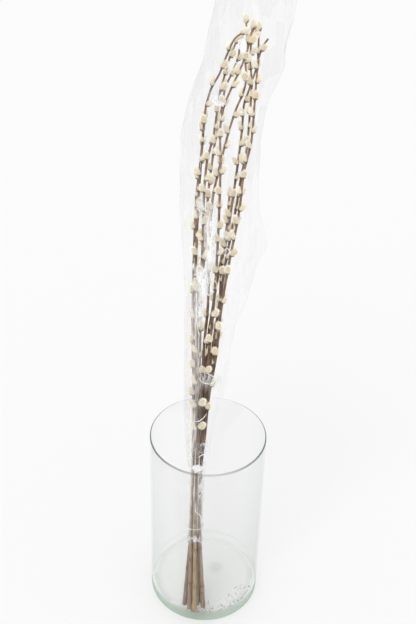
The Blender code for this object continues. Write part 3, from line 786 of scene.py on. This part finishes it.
hair_draw = np.random.default_rng(SEED)
coats = [hair_coat(hair_draw) for kind in range(HAIR_KINDS)]
core_points = [(0.0, 0.0, CATKIN_ROOT)]
for part in np.linspace(0.0, 1.0, CATKIN_ROWS + 2)[1:-1]:
    reach = CATKIN_RADIUS * CATKIN_CORE * float(catkin_width(part))
    for i in range(CATKIN_SIDES):
        angle = 2.0 * math.pi * i / CATKIN_SIDES
        core_points.append((reach * math.cos(angle), reach * math.sin(angle),
                            CATKIN_ROOT + part * CATKIN_LENGTH))
core_points = np.array(core_points + [(0.0, 0.0, CATKIN_ROOT + CATKIN_LENGTH)])
core_faces = closed_faces(CATKIN_ROWS, CATKIN_SIDES)
core_reached = np.clip((core_points[:, 2] - CATKIN_ROOT) / CATKIN_LENGTH, 0.0, 1.0)
core_outward = unit(core_points - np.array((0.0, 0.0, CATKIN_ROOT + CORE_MIDDLE * CATKIN_LENGTH)))

silk, silk_tree = new_material("catkin_silk")
silk_place = read_place(silk_tree)
up_catkin = read_value(silk_tree, "reached")
silk_low = mix_colours(silk_tree, ranged(silk_tree, up_catkin, 0.0, 0.15), SILK_ROOT, SILK_SHADE)
silk_tip = mix_colours(silk_tree, read_value(silk_tree, "tone"), SILK_TIP, SILK_YELLOW)
silk_plain = mix_colours(silk_tree, ranged(silk_tree, up_catkin, 0.08, 0.36), silk_low, silk_tip)
silk_patches = ranged(silk_tree, patches(silk_tree, silk_place, 240.0, 0.35, 0.68), 0.0, 1.0, 0.0, 0.3)
silk_patched = mix_colours(silk_tree, silk_patches, silk_plain, SILK_SHADE)
# Painted light: the coat is painted pale where it is seen edge on, and mottled with painted shade in the
# middle
coat_way = add_node(silk_tree, "Attribute", attribute_name="outward").outputs["Vector"]
coat_edge = add_node(silk_tree, "LayerWeight", {"Blend": 0.5, "Normal": coat_way}).outputs["Facing"]
painted_light_share = maths(silk_tree, "MAXIMUM", ranged(silk_tree, read_value(silk_tree, "hair_painted_light"), 0.1, 0.8),
               ranged(silk_tree, coat_edge, 0.3, 0.7))
silk_colour = mix_colours(silk_tree, painted_light_share, SILK_SHADE, silk_patched)
# Fine hairs let through much of the light that falls on the ones behind them
silk_rays = add_node(silk_tree, "LightPath").outputs["Is Shadow Ray"]
# The silk glows faintly in its own colour: painted light for light passing through the hairs
set_finish(silk_tree, {
    "Alpha": ranged(silk_tree, silk_rays, 0.0, 1.0, 1.0, HAIR_SHADOW), "Base Color": silk_colour,
    "Roughness": 0.85, "Specular IOR Level": 0.2, "Sheen Weight": 0.35, "Sheen Roughness": 0.4,
    "Emission Color": silk_colour, "Emission Strength": 0.19,
    "Normal": relief(silk_tree, fine_noise(silk_tree, silk_place, 3800.0), 0.6, 0.2 * MM)})

tone_draw = random.Random(SEED)
for name in STEMS:
    points, outward, reached, hair_painted_light, tones, faces, count = [], [], [], [], [], [], 0
    for root, way, size, *_ in catkins[name]:
        side, other = side_ways(way)
        turned = np.stack([side, other, way]) * size
        own_tone = tone_draw.random() ** MOSTLY_PALE
        coat, coat_outward, coat_reached, coat_painted_light = coats[tone_draw.randrange(HAIR_KINDS)]
        points.append(in_vase(root + np.concatenate([core_points, coat]) @ turned))
        faces += [[count + corner for corner in face] for face in core_faces]
        faces += (np.arange(len(coat)).reshape(-1, 3) + count + len(core_points)).tolist()
        count += len(core_points) + len(coat)
        outward.append(unit(in_vase(np.concatenate([core_outward, coat_outward]) @ turned) - BUNCH_FOOT))
        reached += [core_reached, coat_reached]
        hair_painted_light += [np.zeros(len(core_points)), coat_painted_light]
        tones.append(np.full(len(core_points) + len(coat), own_tone))
    catkin_piece = new_piece("catkins_" + name[-2:], np.concatenate(points), faces, silk)
    catkin_piece.data.attributes.new("outward", "FLOAT_VECTOR", "POINT").data.foreach_set(
        "vector", np.concatenate(outward).reshape(-1))
    add_value(catkin_piece.data, "reached", np.concatenate(reached))
    add_value(catkin_piece.data, "tone", np.concatenate(tones))
    add_value(catkin_piece.data, "hair_painted_light", np.concatenate(hair_painted_light))
    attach(catkin_piece, "root")
    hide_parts(name)


# Bud scales. The one brown cap that held each catkin through the winter stays on below it, cupped round its
# outer side and drawn to a point. It is hard and a little glossy, and grows from the bark with the catkin.
SCALE_START = 0.03
SCALE_REACH = 0.36
SCALE_ROWS = 7
SCALE_COLUMNS = 8
SCALE_HALF_WIDTH = math.radians(76.0)
SCALE_STAND_OFF = 0.3 * MM
SCALE_THICKNESS = 0.16 * MM
SCALE_DARK = (0.075, 0.036, 0.018, 1.0)
SCALE_LIGHT = (0.30, 0.155, 0.06, 1.0)

scale_skin, scale_tree = new_material("bud_scale")
scale_patches = patches(scale_tree, along_bunch(scale_tree, 4.0)[0], 420.0, 0.35, 0.7)
scale_rim = ranged(scale_tree, read_value(scale_tree, "reached"), 0.4, 1.0)
scale_share = maths(scale_tree, "MAXIMUM", scale_rim, scale_patches)
set_finish(scale_tree, {
    "Base Color": mix_colours(scale_tree, scale_share, SCALE_DARK, SCALE_LIGHT),
    "Roughness": ranged(scale_tree, scale_rim, 0.0, 1.0, 0.38, 0.6),
    "Normal": relief(scale_tree, scale_patches, 0.4, 0.15 * MM)})

for name in STEMS:
    points, reached, faces = [], [], []
    for root, way, size, up, _ in catkins[name]:
        outer = way * float(way @ up) - up
        # The catkin at the tip runs on from its stem, so any of its sides will do
        if np.linalg.norm(outer) < 0.1:
            outer = side_ways(way)[0]
        outer = unit(outer)
        beside = np.cross(way, outer)
        first = len(reached)
        for part in np.linspace(0.0, 1.0, SCALE_ROWS):
            share = SCALE_START + part * SCALE_REACH
            reach = CATKIN_RADIUS * CATKIN_CORE * float(catkin_width(share)) + SCALE_STAND_OFF
            centre = way * (CATKIN_ROOT + share * CATKIN_LENGTH)
            half = SCALE_HALF_WIDTH * math.sqrt(1.0 - part**2)
            for i in range(SCALE_COLUMNS + 1):
                angle = half * (2.0 * i / SCALE_COLUMNS - 1.0)
                out = outer * math.cos(angle) + beside * math.sin(angle)
                points.append(in_vase(root + (centre + out * reach) * size))
                reached.append(part)
        for row in range(SCALE_ROWS - 1):
            for i in range(SCALE_COLUMNS):
                low = first + row * (SCALE_COLUMNS + 1) + i
                high = low + SCALE_COLUMNS + 1
                faces.append((low, low + 1, high + 1, high))
    scale_piece = new_piece("bud_scales_" + name[-2:], points, faces, scale_skin)
    add_value(scale_piece.data, "reached", reached)
    shell = scale_piece.modifiers.new("shell", "SOLIDIFY")
    shell.thickness = SCALE_THICKNESS
    shell.offset = 1.0
    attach(scale_piece, "root")


# Film sleeve. A tapered tube of crisp clear film, open at both ends. It is drawn in tight round the stems at
# the tie, and stands loose, fluted and crumpled round the catkins above.
FILM_ROW = 2.4 * MM
FILM_COLUMNS = 132
FILM_CRUMPLE = 6.0 * MM
FILM_CRUMPLE_TIGHT = 0.35 * MM
FILM_CRUMPLE_SIZE = 24.0 * MM
FILM_CRUMPLE_STRETCH = 2.0
FACET_ANGLE = math.radians(28.0)
# Uneven ends: how deep they are, how far they run, and how fine they are round the film and along it
FILM_RAG = 5.0 * MM
FILM_RAG_RUN = 16.0 * MM
FILM_TEETH = (3.2, 3.0)
# Film colours: grey for its painted shade, white for painted glare, warm for the low painted veil
FILM_GREY = (0.45, 0.45, 0.47, 1.0)
FILM_WHITE = (0.93, 0.93, 0.94, 1.0)
FILM_WARM = (0.87, 0.82, 0.755, 1.0)
# Stretches up the bunch over which the warm painted veil ends and the painted grey facets set in
FILM_WARM_END = (400.0 * MM, 450.0 * MM)
FILM_GREY_START = (420.0 * MM, 720.0 * MM)
# How opaque the painted glare is
FILM_PAINTED_SHINE = 0.62
FILM_WARP = (0.016, 0.016, 0.016)
# Parts of the crumples' depth that their wide and their fine facets make
CRUMPLE_PARTS = (0.75, 0.35)
FINE_CRUMPLE = 2.3
# Part of its size at which a mark has faded away
MARK_EDGE = 1.6
# Places on the front where the film lies crumpled on the stems and shines, painted as glare, and where it
# veils them evenly, a painted reflection:
# (along, across, half length, half width) in mm, tilt in degrees, strength
FILM_PAINTED_GLARES = [(474, -7, 9, 3.5, -28, 1.0), (464, 3, 12, 2, 8, 0.8), (560, -5, 11, 2.5, -40, 0.8),
               (643, -2, 4, 4, 0, 0.7), (692, 8, 5, 7, -20, 0.8), (602, 43, 4, 4, 0, 0.6),
               (524, 27, 4, 4, 0, 0.6), (504, 29, 4, 4, 0, 0.6), (333, 10, 6, 12, 0, 0.6),
               (238, 4, 12, 6, 20, 0.8), (205, 4, 14, 5, 0, 0.8), (175, 4, 26, 4, 0, 0.8),
               (140, 5, 14, 4, 0, 0.6), (103, -2, 5, 10, 0, 0.9), (530, 9, 22, 6, 0, 0.6),
               (462, -3, 14, 5, 0, 0.8), (515, 8, 30, 5, 0, 0.7), (425, -4, 18, 3, 0, 0.6)]
FILM_PAINTED_VEILS = [(375, -13, 80, 8, 0, 0.8), (340, -4, 60, 4, 0, 0.7), (262, -9, 42, 6, 0, 0.85),
              (200, -10, 90, 3, 0, 0.9), (515, 7, 42, 7, 0, 1.0), (458, -2, 24, 7, 0, 1.0),
              (425, -4, 24, 4, 0, 1.0), (150, -2, 50, 12, 0, 0.12), (330, 8, 10, 18, 0, 0.4),
              (690, 9, 16, 9, 0, 0.4), (560, -6, 16, 5, 0, 0.6), (420, -12, 30, 5, 0, 0.8),
              (640, 20, 60, 12, 0, 0.18), (560, 30, 70, 9, 0, 0.14), (275, 4, 30, 4, 0, 0.1)]


def marked(marks, along, across):
    """Strength at places on the film of soft oval marks."""
    strength = np.zeros(len(across))
    for mark_along, mark_across, length, width, tilt, most in marks:
        lift, shift = along / MM - mark_along, across / MM - mark_across
        turn = math.radians(tilt)
        u = (lift * math.cos(turn) + shift * math.sin(turn)) / length
        v = (shift * math.cos(turn) - lift * math.sin(turn)) / width
        strength = np.maximum(strength, most * np.clip(MARK_EDGE - np.hypot(u, v), 0.0, 1.0))
    return strength


def squared_round(angle):
    """Point (across, depth) at an angle round a circle that is squared off as the sleeve is."""
    power = 2.0 / SLEEVE_SQUARENESS
    return [np.sign(part) * np.abs(part) ** power for part in (np.cos(angle), np.sin(angle))]


def film_outline(along, angle, inset):
    """Places (along, across, depth) on the film at an angle round the bunch, drawn in by an inset."""
    middle, half_width, half_depth = sleeve_section(along)
    x, y = squared_round(angle)
    wave = 0.5 + 0.5 * np.sin(SLEEVE_FLUTES * angle + SLEEVE_FLUTE_DRIFT * along)
    drawn_in = 1.0 - SLEEVE_FLUTE_DEPTH * film_looseness(along) * wave
    across = middle[:, 0] + (half_width * drawn_in - inset) * x
    depth = middle[:, 1] + (half_depth * drawn_in - inset) * y
    return np.stack([along, across, depth], axis=-1)


def film_points(along, angle, lift=0.0):
    """Places on the crumpled film, whose creases stand out and whose facets sink in, lifted off it."""
    flat = film_outline(along, angle, 0.0)
    amount = FILM_CRUMPLE_TIGHT + (FILM_CRUMPLE - FILM_CRUMPLE_TIGHT) * film_looseness(along)
    inset = []
    for place, most in zip(flat, amount):
        spot = Vector((place[1], place[2], place[0] / FILM_CRUMPLE_STRETCH)) / FILM_CRUMPLE_SIZE
        cells = [noise.voronoi(spot)[0], noise.voronoi(spot * FINE_CRUMPLE)[0]]
        depths = [part * min(1.0, cell[1] - cell[0]) for part, cell in zip(CRUMPLE_PARTS, cells)]
        inset.append(most * sum(depths))
    return film_outline(along, angle, np.array(inset) - lift)


film_low, film_high = SLEEVE_SECTIONS[0][0] * MM, SLEEVE_SECTIONS[-1][0] * MM
film_rows = round((film_high - film_low) / FILM_ROW) + 1
film_angles = 2.0 * math.pi * np.arange(FILM_COLUMNS) / FILM_COLUMNS
film_places, film_painted_glare, film_painted_veil = [], [], []
for station in np.linspace(film_low, film_high, film_rows):
    along = np.full(FILM_COLUMNS, station)
    flat = film_outline(along, film_angles, 0.0)
    ends = max(0.0, 1.0 - min(station - film_low, film_high - station) / FILM_RAG_RUN)
    wide, tall = FILM_TEETH
    teeth = np.array([noise.noise(Vector((wide * math.cos(a), wide * math.sin(a), station * tall)))
                      for a in film_angles])
    ragged = film_points(along, film_angles)
    ragged[:, 0] += ends * FILM_RAG * teeth
    film_places.append(in_vase(ragged))
    front = flat[:, 2] < sleeve_section(station)[0][0, 1]
    film_painted_glare.append(marked(FILM_PAINTED_GLARES, along, flat[:, 1]) * front)
    film_painted_veil.append(marked(FILM_PAINTED_VEILS, along, flat[:, 1]) * front)
film_piece = new_piece("film_sleeve_crumpled", np.concatenate(film_places),
                       ring_faces(film_rows, FILM_COLUMNS))
add_value(film_piece.data, "painted_glare", np.concatenate(film_painted_glare))
add_value(film_piece.data, "painted_veil", np.concatenate(film_painted_veil))
add_value(film_piece.data, "height", np.repeat(np.linspace(film_low, film_high, film_rows), FILM_COLUMNS))
film_piece.data.set_sharp_from_angle(angle=FACET_ANGLE)

film, film_tree = new_material("clear_film")
crease_place = along_bunch(film_tree, 2.2)[0]
streak_place = along_bunch(film_tree, 9.0)[0]
streaks = fine_noise(film_tree, streak_place, 130.0, detail=3.0, roughness=0.6)
fine_streaks = ranged(film_tree, fine_noise(film_tree, streak_place, 520.0), 0.42, 0.6)
warp = add_node(film_tree, "TexNoise", {"Vector": crease_place, "Scale": 60.0, "Detail": 2.0})
warped = add_node(film_tree, "VectorMath", {0: warp.outputs["Color"], 1: FILM_WARP, 2: crease_place},
                  operation="MULTIPLY_ADD").outputs[0]
fine_cells = add_node(film_tree, "TexVoronoi", {"Vector": warped, "Scale": 260.0},
                      feature="DISTANCE_TO_EDGE").outputs["Distance"]
facets = add_node(film_tree, "TexVoronoi", {"Vector": warped, "Scale": 420.0}).outputs["Color"]
facet_draw = add_node(film_tree, "SeparateColor", {"Color": facets}).outputs["Red"]
wide_facets = add_node(film_tree, "TexVoronoi", {"Vector": warped, "Scale": 48.0}).outputs["Color"]
wide_draw = add_node(film_tree, "SeparateColor", {"Color": wide_facets}).outputs["Green"]
painted_glare_here, painted_veil_here, film_height = (read_value(film_tree, name) for name in ("painted_glare", "painted_veil", "height"))
# Painted glare: single facets and their creases are painted flashing white
painted_shine = ranged(film_tree, maths(film_tree, "MULTIPLY", facet_draw, painted_glare_here), 0.3, 0.75)
crease_painted_light = maths(film_tree, "MULTIPLY", ranged(film_tree, fine_cells, 0.0, 0.12, 1.0, 0.0), painted_glare_here)
painted_white_light = maths(film_tree, "MAXIMUM", painted_shine, crease_painted_light)
# Painted veil and plain film: streaks and facets of pale grey, painted as the shade of the crumples, faint
# low down
painted_veil_streaks = maths(film_tree, "MULTIPLY", ranged(film_tree, fine_streaks, 0.0, 1.0, 0.42, 0.88), painted_veil_here)
facet_painted_grey = maths(film_tree, "MULTIPLY", ranged(film_tree, wide_draw, 0.2, 1.0, 0.01, 0.1),
                   ranged(film_tree, film_height, *FILM_GREY_START, 0.25, 1.0))
thin_streaks = maths(film_tree, "MULTIPLY_ADD", ranged(film_tree, streaks, 0.45, 0.68), 0.045, facet_painted_grey)
painted_grey_film = maths(film_tree, "MAXIMUM", painted_veil_streaks, thin_streaks)
film_normal = relief(film_tree, maths(film_tree, "ADD", streaks, fine_cells), 0.4, 1.2 * MM)
# More painted grey where the film is seen edge on
edge_on = add_node(film_tree, "LayerWeight", {"Blend": 0.5, "Normal": film_normal}).outputs["Facing"]
edge_painted_grey = maths(film_tree, "MULTIPLY_ADD", ranged(film_tree, edge_on, 0.6, 1.0, 0.0, 1.3), facet_painted_grey,
                  painted_grey_film)
painted_veil_colour = mix_colours(film_tree, ranged(film_tree, film_height, *FILM_WARM_END), FILM_WARM, FILM_WHITE)
veiled = mix_colours(film_tree, painted_veil_here, FILM_GREY, painted_veil_colour)
set_finish(film_tree, {
    "Base Color": mix_colours(film_tree, painted_white_light, veiled, FILM_WHITE),
    "Roughness": ranged(film_tree, streaks, 0.3, 0.7, 0.08, 0.25), "Specular IOR Level": 0.5,
    "Alpha": maths(film_tree, "MULTIPLY_ADD", painted_white_light, FILM_PAINTED_SHINE, edge_painted_grey), "Normal": film_normal})
film_piece.data.materials.append(film)
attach(film_piece, "root")
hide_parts("film_sleeve")


# Film folds. Where the film is squeezed flat on the bunch its creases stand up as thin pleats and
# curls, and short crinkles run over the rest. They are the same sheet, pinched double into fine ridges, and
# drawn white with a faint glow as painted glare.
FOLD_RADIUS = 0.7 * MM
FOLD_SIDES = 6
FOLD_STEP = 1.2 * MM
FOLD_LIFT = 0.15 * MM
FOLD_TAPER = (0.04, 0.96)
FOLD_GLARE_WHITE = (0.95, 0.955, 0.96, 1.0)
CRINKLES = 210
CRINKLE_LENGTHS = (4.0 * MM, 15.0 * MM)
CRINKLE_RADII = (0.08 * MM, 0.2 * MM)
CRINKLE_TIGHT_SHARE = 0.6
CRINKLE_TIGHT_LENGTH = 0.6
CRINKLE_TIGHT_RUN = (110.0, 330.0)
CRINKLE_LOOSE_RUN = (330.0, 825.0)
CRINKLE_HEADING = 0.6
CRINKLE_BEND = 0.6
# Each fold as (along, across) points in mm
FILM_FOLDS = [
    [(735, -2), (737, 2), (735, 9)], [(732, -1), (730, 4)], [(739, 29), (735, 34), (732, 38)],
    [(717, 66), (709, 69), (701, 68)], [(700, 1), (693, 4), (689, 10), (686, 17)],
    [(645, -7), (643, -2), (641, 3)], [(606, 40), (603, 46)], [(603, 39), (599, 46)],
    [(563, -17), (559, -11), (558, -6)], [(562, -9), (557, -4), (554, 3)], [(558, -14), (554, -9), (550, -2)],
    [(482, 2), (462, 5), (448, 6), (447, 10)], [(461, 0), (452, 3), (446, 7), (449, 11), (452, 15)],
    [(473, 9), (470, 12), (471, 16)], [(463, 10), (466, 14), (462, 17)], [(469, 8), (466, 12), (459, 11)],
    [(525, 23), (521, 28), (528, 31)], [(504, 25), (508, 29), (504, 33), (499, 29), (501, 25)],
    [(443, -5), (424, -2), (401, 2)], [(440, -7), (416, -8), (393, -4)],
    [(335, -3), (328, 4), (327, 13), (330, 18), (334, 29)], [(342, 7), (339, 13), (335, 20)],
    [(276, -8), (275, -3), (280, 5), (286, 9)], [(223, -1), (227, 4), (229, 9)],
    [(202, -1), (205, 4), (211, 8)], [(193, 6), (181, 4), (169, 6)], [(190, -4), (172, -5), (154, -4)],
    [(157, -2), (145, -2), (137, 5), (123, 6)], [(103, -9), (106, -4), (109, -1)], [(103, 2), (98, 7)],
]
# Corners of flaps, where the film is doubled over flat, drawn white as painted glare
FILM_FLAPS = [
    [(206, -9), (211, -7), (213, 0), (210, 6), (203, 5), (200, -3)],
    [(472, -14), (477, -6), (485, 4), (477, 1), (466, -3), (470, -9)],
    [(762, 34), (765, 41), (758, 45), (750, 44), (747, 40), (754, 34)],
    [(695, 2), (691, 11), (687, 20), (683, 19), (684, 10), (689, 4)],
]
FLAP_RINGS = 4
WIDEST_SHARE = 0.985


def front_of_film(along, across):
    """Places on the front of the sleeve, a little proud of it."""
    middle, half_width, _ = sleeve_section(along)
    share = np.clip((across - middle[:, 0]) / half_width, -WIDEST_SHARE, WIDEST_SHARE)
    turned = np.arccos(np.sign(share) * np.abs(share) ** (SLEEVE_SQUARENESS / 2.0))
    return film_points(along, 2.0 * math.pi - turned, FOLD_LIFT)


fold_points, fold_faces = [], []


def add_folded(points, faces):
    """Add points (along, across, depth) and their faces to the folds."""
    first = sum(len(part) for part in fold_points)
    fold_points.append(in_vase(points))
    fold_faces.extend(tuple(first + corner for corner in face) for face in faces)


def add_ridge(line, radius):
    """A thin tapered ridge along a line on the film."""
    side, other = side_ways(unit(np.gradient(line, axis=0)))
    taper = radius * np.sqrt(np.sin(math.pi * np.linspace(*FOLD_TAPER, len(line))))
    angles = 2.0 * math.pi * np.arange(FOLD_SIDES) / FOLD_SIDES
    rings = [line[i] + taper[i] * (np.outer(np.cos(angles), side[i]) + np.outer(np.sin(angles), other[i]))
             for i in range(len(line))]
    add_folded(np.concatenate([line[:1], *rings, line[-1:]]), closed_faces(len(line), FOLD_SIDES))


for outline in FILM_FLAPS:
    outline = np.array(outline, dtype=float) * MM
    middle = outline.mean(axis=0)
    rings = [middle + (outline - middle) * (ring / FLAP_RINGS) for ring in range(1, FLAP_RINGS + 1)]
    places = np.concatenate([middle[None], *rings])
    flap_faces = closed_faces(FLAP_RINGS, len(outline))[:-len(outline)]
    add_folded(front_of_film(places[:, 0], places[:, 1]), flap_faces)
for route in FILM_FOLDS:
    route = np.array(route, dtype=float) * MM
    knots = np.concatenate([[0.0], np.cumsum(np.linalg.norm(np.diff(route, axis=0), axis=1))])
    steps = np.linspace(0.0, knots[-1], max(6, round(knots[-1] / FOLD_STEP)))
    line = smooth_values(knots, route, steps) if len(route) > 2 else route[0] + np.outer(
        steps / knots[-1], route[1] - route[0])
    add_ridge(front_of_film(line[:, 0], line[:, 1]), FOLD_RADIUS)
crinkle_draw = random.Random(SEED)
for number in range(CRINKLES):
    tight = crinkle_draw.random() < CRINKLE_TIGHT_SHARE
    middle_along = crinkle_draw.uniform(*(CRINKLE_TIGHT_RUN if tight else CRINKLE_LOOSE_RUN)) * MM
    length = crinkle_draw.uniform(*CRINKLE_LENGTHS) * (CRINKLE_TIGHT_LENGTH if tight else 1.0)
    heading = crinkle_draw.gauss(0.0, CRINKLE_HEADING)
    bend = crinkle_draw.uniform(-CRINKLE_BEND, CRINKLE_BEND)
    middle_angle = crinkle_draw.uniform(0.0, 2.0 * math.pi)
    around = float(sleeve_section(middle_along)[1][0])
    share = np.linspace(-0.5, 0.5, max(5, round(length / FOLD_STEP)))
    along = middle_along + length * share * math.cos(heading)
    angle = middle_angle + length * (share * math.sin(heading) + bend * share**2) / around
    along = np.clip(along, film_low + FILM_RAG, film_high - FILM_RAG)
    add_ridge(film_points(along, angle, FOLD_LIFT / 3.0), crinkle_draw.uniform(*CRINKLE_RADII))
fold_piece = new_piece("film_folds", np.concatenate(fold_points), fold_faces)
fold_skin, fold_tree = new_material("pinched_film")
fold_mottle = fine_noise(fold_tree, read_place(fold_tree), 900.0)
# Painted glare: white, partly see-through, with a faint painted glow
set_finish(fold_tree, {
    "Base Color": FOLD_GLARE_WHITE, "Roughness": 0.15, "Specular IOR Level": 0.8, "Emission Color": FOLD_GLARE_WHITE,
    "Emission Strength": 0.03, "Alpha": ranged(fold_tree, fold_mottle, 0.35, 0.62, 0.52, 0.98)})
fold_piece.data.materials.append(fold_skin)
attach(fold_piece, "root")


# Elastic tie. One loop of thin off-white covered elastic, stretched round the film and the stems. Its cover
# is wound thread, and it rises a little to the right.
TIE_ALONG = 118.0 * MM
TIE_RADIUS = 0.6 * MM
TIE_SEGMENTS = 96
TIE_SIDES = 10
TIE_TURNS = 70.0
TIE_RISE = 2.5 * MM
ELASTIC_LIGHT = (0.84, 0.83, 0.79, 1.0)
ELASTIC_SHADE = (0.52, 0.50, 0.45, 1.0)

tie_middle, tie_width, tie_depth = (value[0] for value in sleeve_section(TIE_ALONG))
tie_stand_off = GAP + TIE_RADIUS
tie_points, tie_turn = [], []
for i in range(TIE_SEGMENTS):
    angle = 2.0 * math.pi * i / TIE_SEGMENTS
    x, y = squared_round(angle)
    x, y = (tie_width + tie_stand_off) * x, (tie_depth + tie_stand_off) * y
    rise = TIE_RISE * max(0.0, math.cos(angle)) ** 2
    for k in range(TIE_SIDES):
        around = 2.0 * math.pi * k / TIE_SIDES
        scale = 1.0 + TIE_RADIUS * math.cos(around) / math.hypot(x, y)
        tie_points.append(in_vase((TIE_ALONG + rise + TIE_RADIUS * math.sin(around),
                                   tie_middle[0] + x * scale, tie_middle[1] + y * scale)))
        tie_turn.append(TIE_TURNS * i / TIE_SEGMENTS + k / TIE_SIDES)
tie_piece = new_piece("elastic_tie", tie_points, ring_faces(TIE_SEGMENTS, TIE_SIDES, rows_join=True))
add_value(tie_piece.data, "wind", tie_turn)
elastic, elastic_tree = new_material("wound_elastic")
wind = maths(elastic_tree, "FRACT", read_value(elastic_tree, "wind"))
thread = maths(elastic_tree, "PINGPONG", wind, 1.0)
fuzz = ranged(elastic_tree, fine_noise(elastic_tree, read_place(elastic_tree), 2600.0), 0.35, 0.7)
set_finish(elastic_tree, {
    "Base Color": mix_colours(elastic_tree, fuzz, ELASTIC_LIGHT, ELASTIC_SHADE), "Roughness": 0.75,
    "Normal": relief(elastic_tree, thread, 0.7, 0.15 * MM)})
tie_piece.data.materials.append(elastic)
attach(tie_piece, "root")
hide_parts("tie_band")


# Crumbs. Flakes of bark and bud scale that have dropped off the dry stems and lie on the vase floor, most of
# them up against the wall in front and to the right of the stems.
CRUMBS = 230
CRUMB_SIZES = (0.8 * MM, 2.0 * MM)
CRUMB_ARC = (-104.0, -14.0)
CRUMB_REACH = (50.0 * MM, 69.5 * MM)
CRUMB_ARC_CROWDING = 2.0
CRUMB_RIM_CROWDING = 2.2
CRUMB_WIDTHS = (0.5, 1.0)
CRUMB_HEIGHTS = (0.5, 0.9)
CRUMB_ROUGHNESS = (0.75, 1.1)
CRUMB_GAP = 0.1 * MM
# Rings of a crumb: part of its height, and girth there
CRUMB_RINGS = ((0.1, 0.75), (0.5, 1.0), (0.85, 0.7))
CRUMB_SIDES = 6
CRUMB_DARK = (0.14, 0.08, 0.045, 1.0)
CRUMB_LIGHT = (0.38, 0.25, 0.13, 1.0)

crumb_draw = random.Random(SEED)
crumb_points, crumb_faces = [], []
for number in range(CRUMBS):
    start, end = CRUMB_ARC
    bearing = math.radians(start + (end - start) * crumb_draw.random() ** CRUMB_ARC_CROWDING)
    inner, outer = CRUMB_REACH
    reach = outer - (outer - inner) * crumb_draw.random() ** CRUMB_RIM_CROWDING
    bottom = Vector((reach * math.cos(bearing), reach * math.sin(bearing), VASE_FLOOR + CRUMB_GAP))
    length = crumb_draw.uniform(*CRUMB_SIZES)
    width = length * crumb_draw.uniform(*CRUMB_WIDTHS)
    height = length * crumb_draw.uniform(*CRUMB_HEIGHTS)
    turn = Matrix.Rotation(crumb_draw.uniform(0.0, math.pi), 3, "Z")
    first = len(crumb_points)
    crumb_points.append(bottom)
    for level, share in CRUMB_RINGS:
        for i in range(CRUMB_SIDES):
            angle = 2.0 * math.pi * i / CRUMB_SIDES
            rough = crumb_draw.uniform(*CRUMB_ROUGHNESS) * share
            crumb_points.append(bottom + turn @ Vector((length * rough * math.cos(angle) / 2,
                                                        width * rough * math.sin(angle) / 2, height * level)))
    crumb_points.append(bottom + Vector((0.0, 0.0, height)))
    crumb_faces += [tuple(first + corner for corner in face)
                    for face in closed_faces(len(CRUMB_RINGS), CRUMB_SIDES)]
crumb_piece = new_piece("dry_crumbs", crumb_points, crumb_faces)
crumb_skin, crumb_tree = new_material("dry_litter")
crumb_place = read_place(crumb_tree)
crumb_patches = patches(crumb_tree, crumb_place, 320.0, 0.4, 0.6)
set_finish(crumb_tree, {
    "Base Color": mix_colours(crumb_tree, crumb_patches, CRUMB_DARK, CRUMB_LIGHT), "Roughness": 0.9,
    "Normal": relief(crumb_tree, fine_noise(crumb_tree, crumb_place, 3000.0), 1.0, 0.2 * MM)})
crumb_piece.data.materials.append(crumb_skin)
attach(crumb_piece, "root")


# Floor and light. A wide plain white floor, an even white surround and one large soft lamp from the upper
# left, as on a product table.
FLOOR_HALF = 12.0
FLOOR_DROP = 0.4 * MM
FLOOR_WHITE = (0.9, 0.9, 0.9, 1.0)
SURROUND_WHITE = (1.0, 1.0, 1.0, 1.0)
SURROUND_STRENGTH = 0.87
KEY_FROM = Vector((-0.55, -0.65, 1.3))
KEY_SOFTNESS = math.radians(40.0)
KEY_STRENGTH = 0.78

floor_corners = [(x * FLOOR_HALF, y * FLOOR_HALF, -FLOOR_DROP)
                 for x, y in ((-1, -1), (1, -1), (1, 1), (-1, 1))]
floor_piece = new_piece("floor", floor_corners, [(0, 1, 2, 3)])
floor_skin, floor_tree = new_material("white_floor")
floor_shader = add_node(floor_tree, "BsdfDiffuse", {"Color": FLOOR_WHITE})
add_node(floor_tree, "OutputMaterial", {"Surface": floor_shader.outputs[0]})
floor_piece.data.materials.append(floor_skin)

world = bpy.data.worlds.new("surround")
world.use_nodes = True
background = world.node_tree.nodes["Background"].inputs
background["Color"].default_value = SURROUND_WHITE
background["Strength"].default_value = SURROUND_STRENGTH
bpy.context.scene.world = world
bpy.context.scene.view_settings.view_transform = "Standard"

key = bpy.data.lights.new("key", "SUN")
key.angle = KEY_SOFTNESS
key.energy = KEY_STRENGTH
key_lamp = bpy.data.objects.new("key", key)
key_lamp.location = KEY_FROM
key_lamp.rotation_euler = (-KEY_FROM).to_track_quat("-Z", "Y").to_euler()
bpy.context.scene.collection.objects.link(key_lamp)
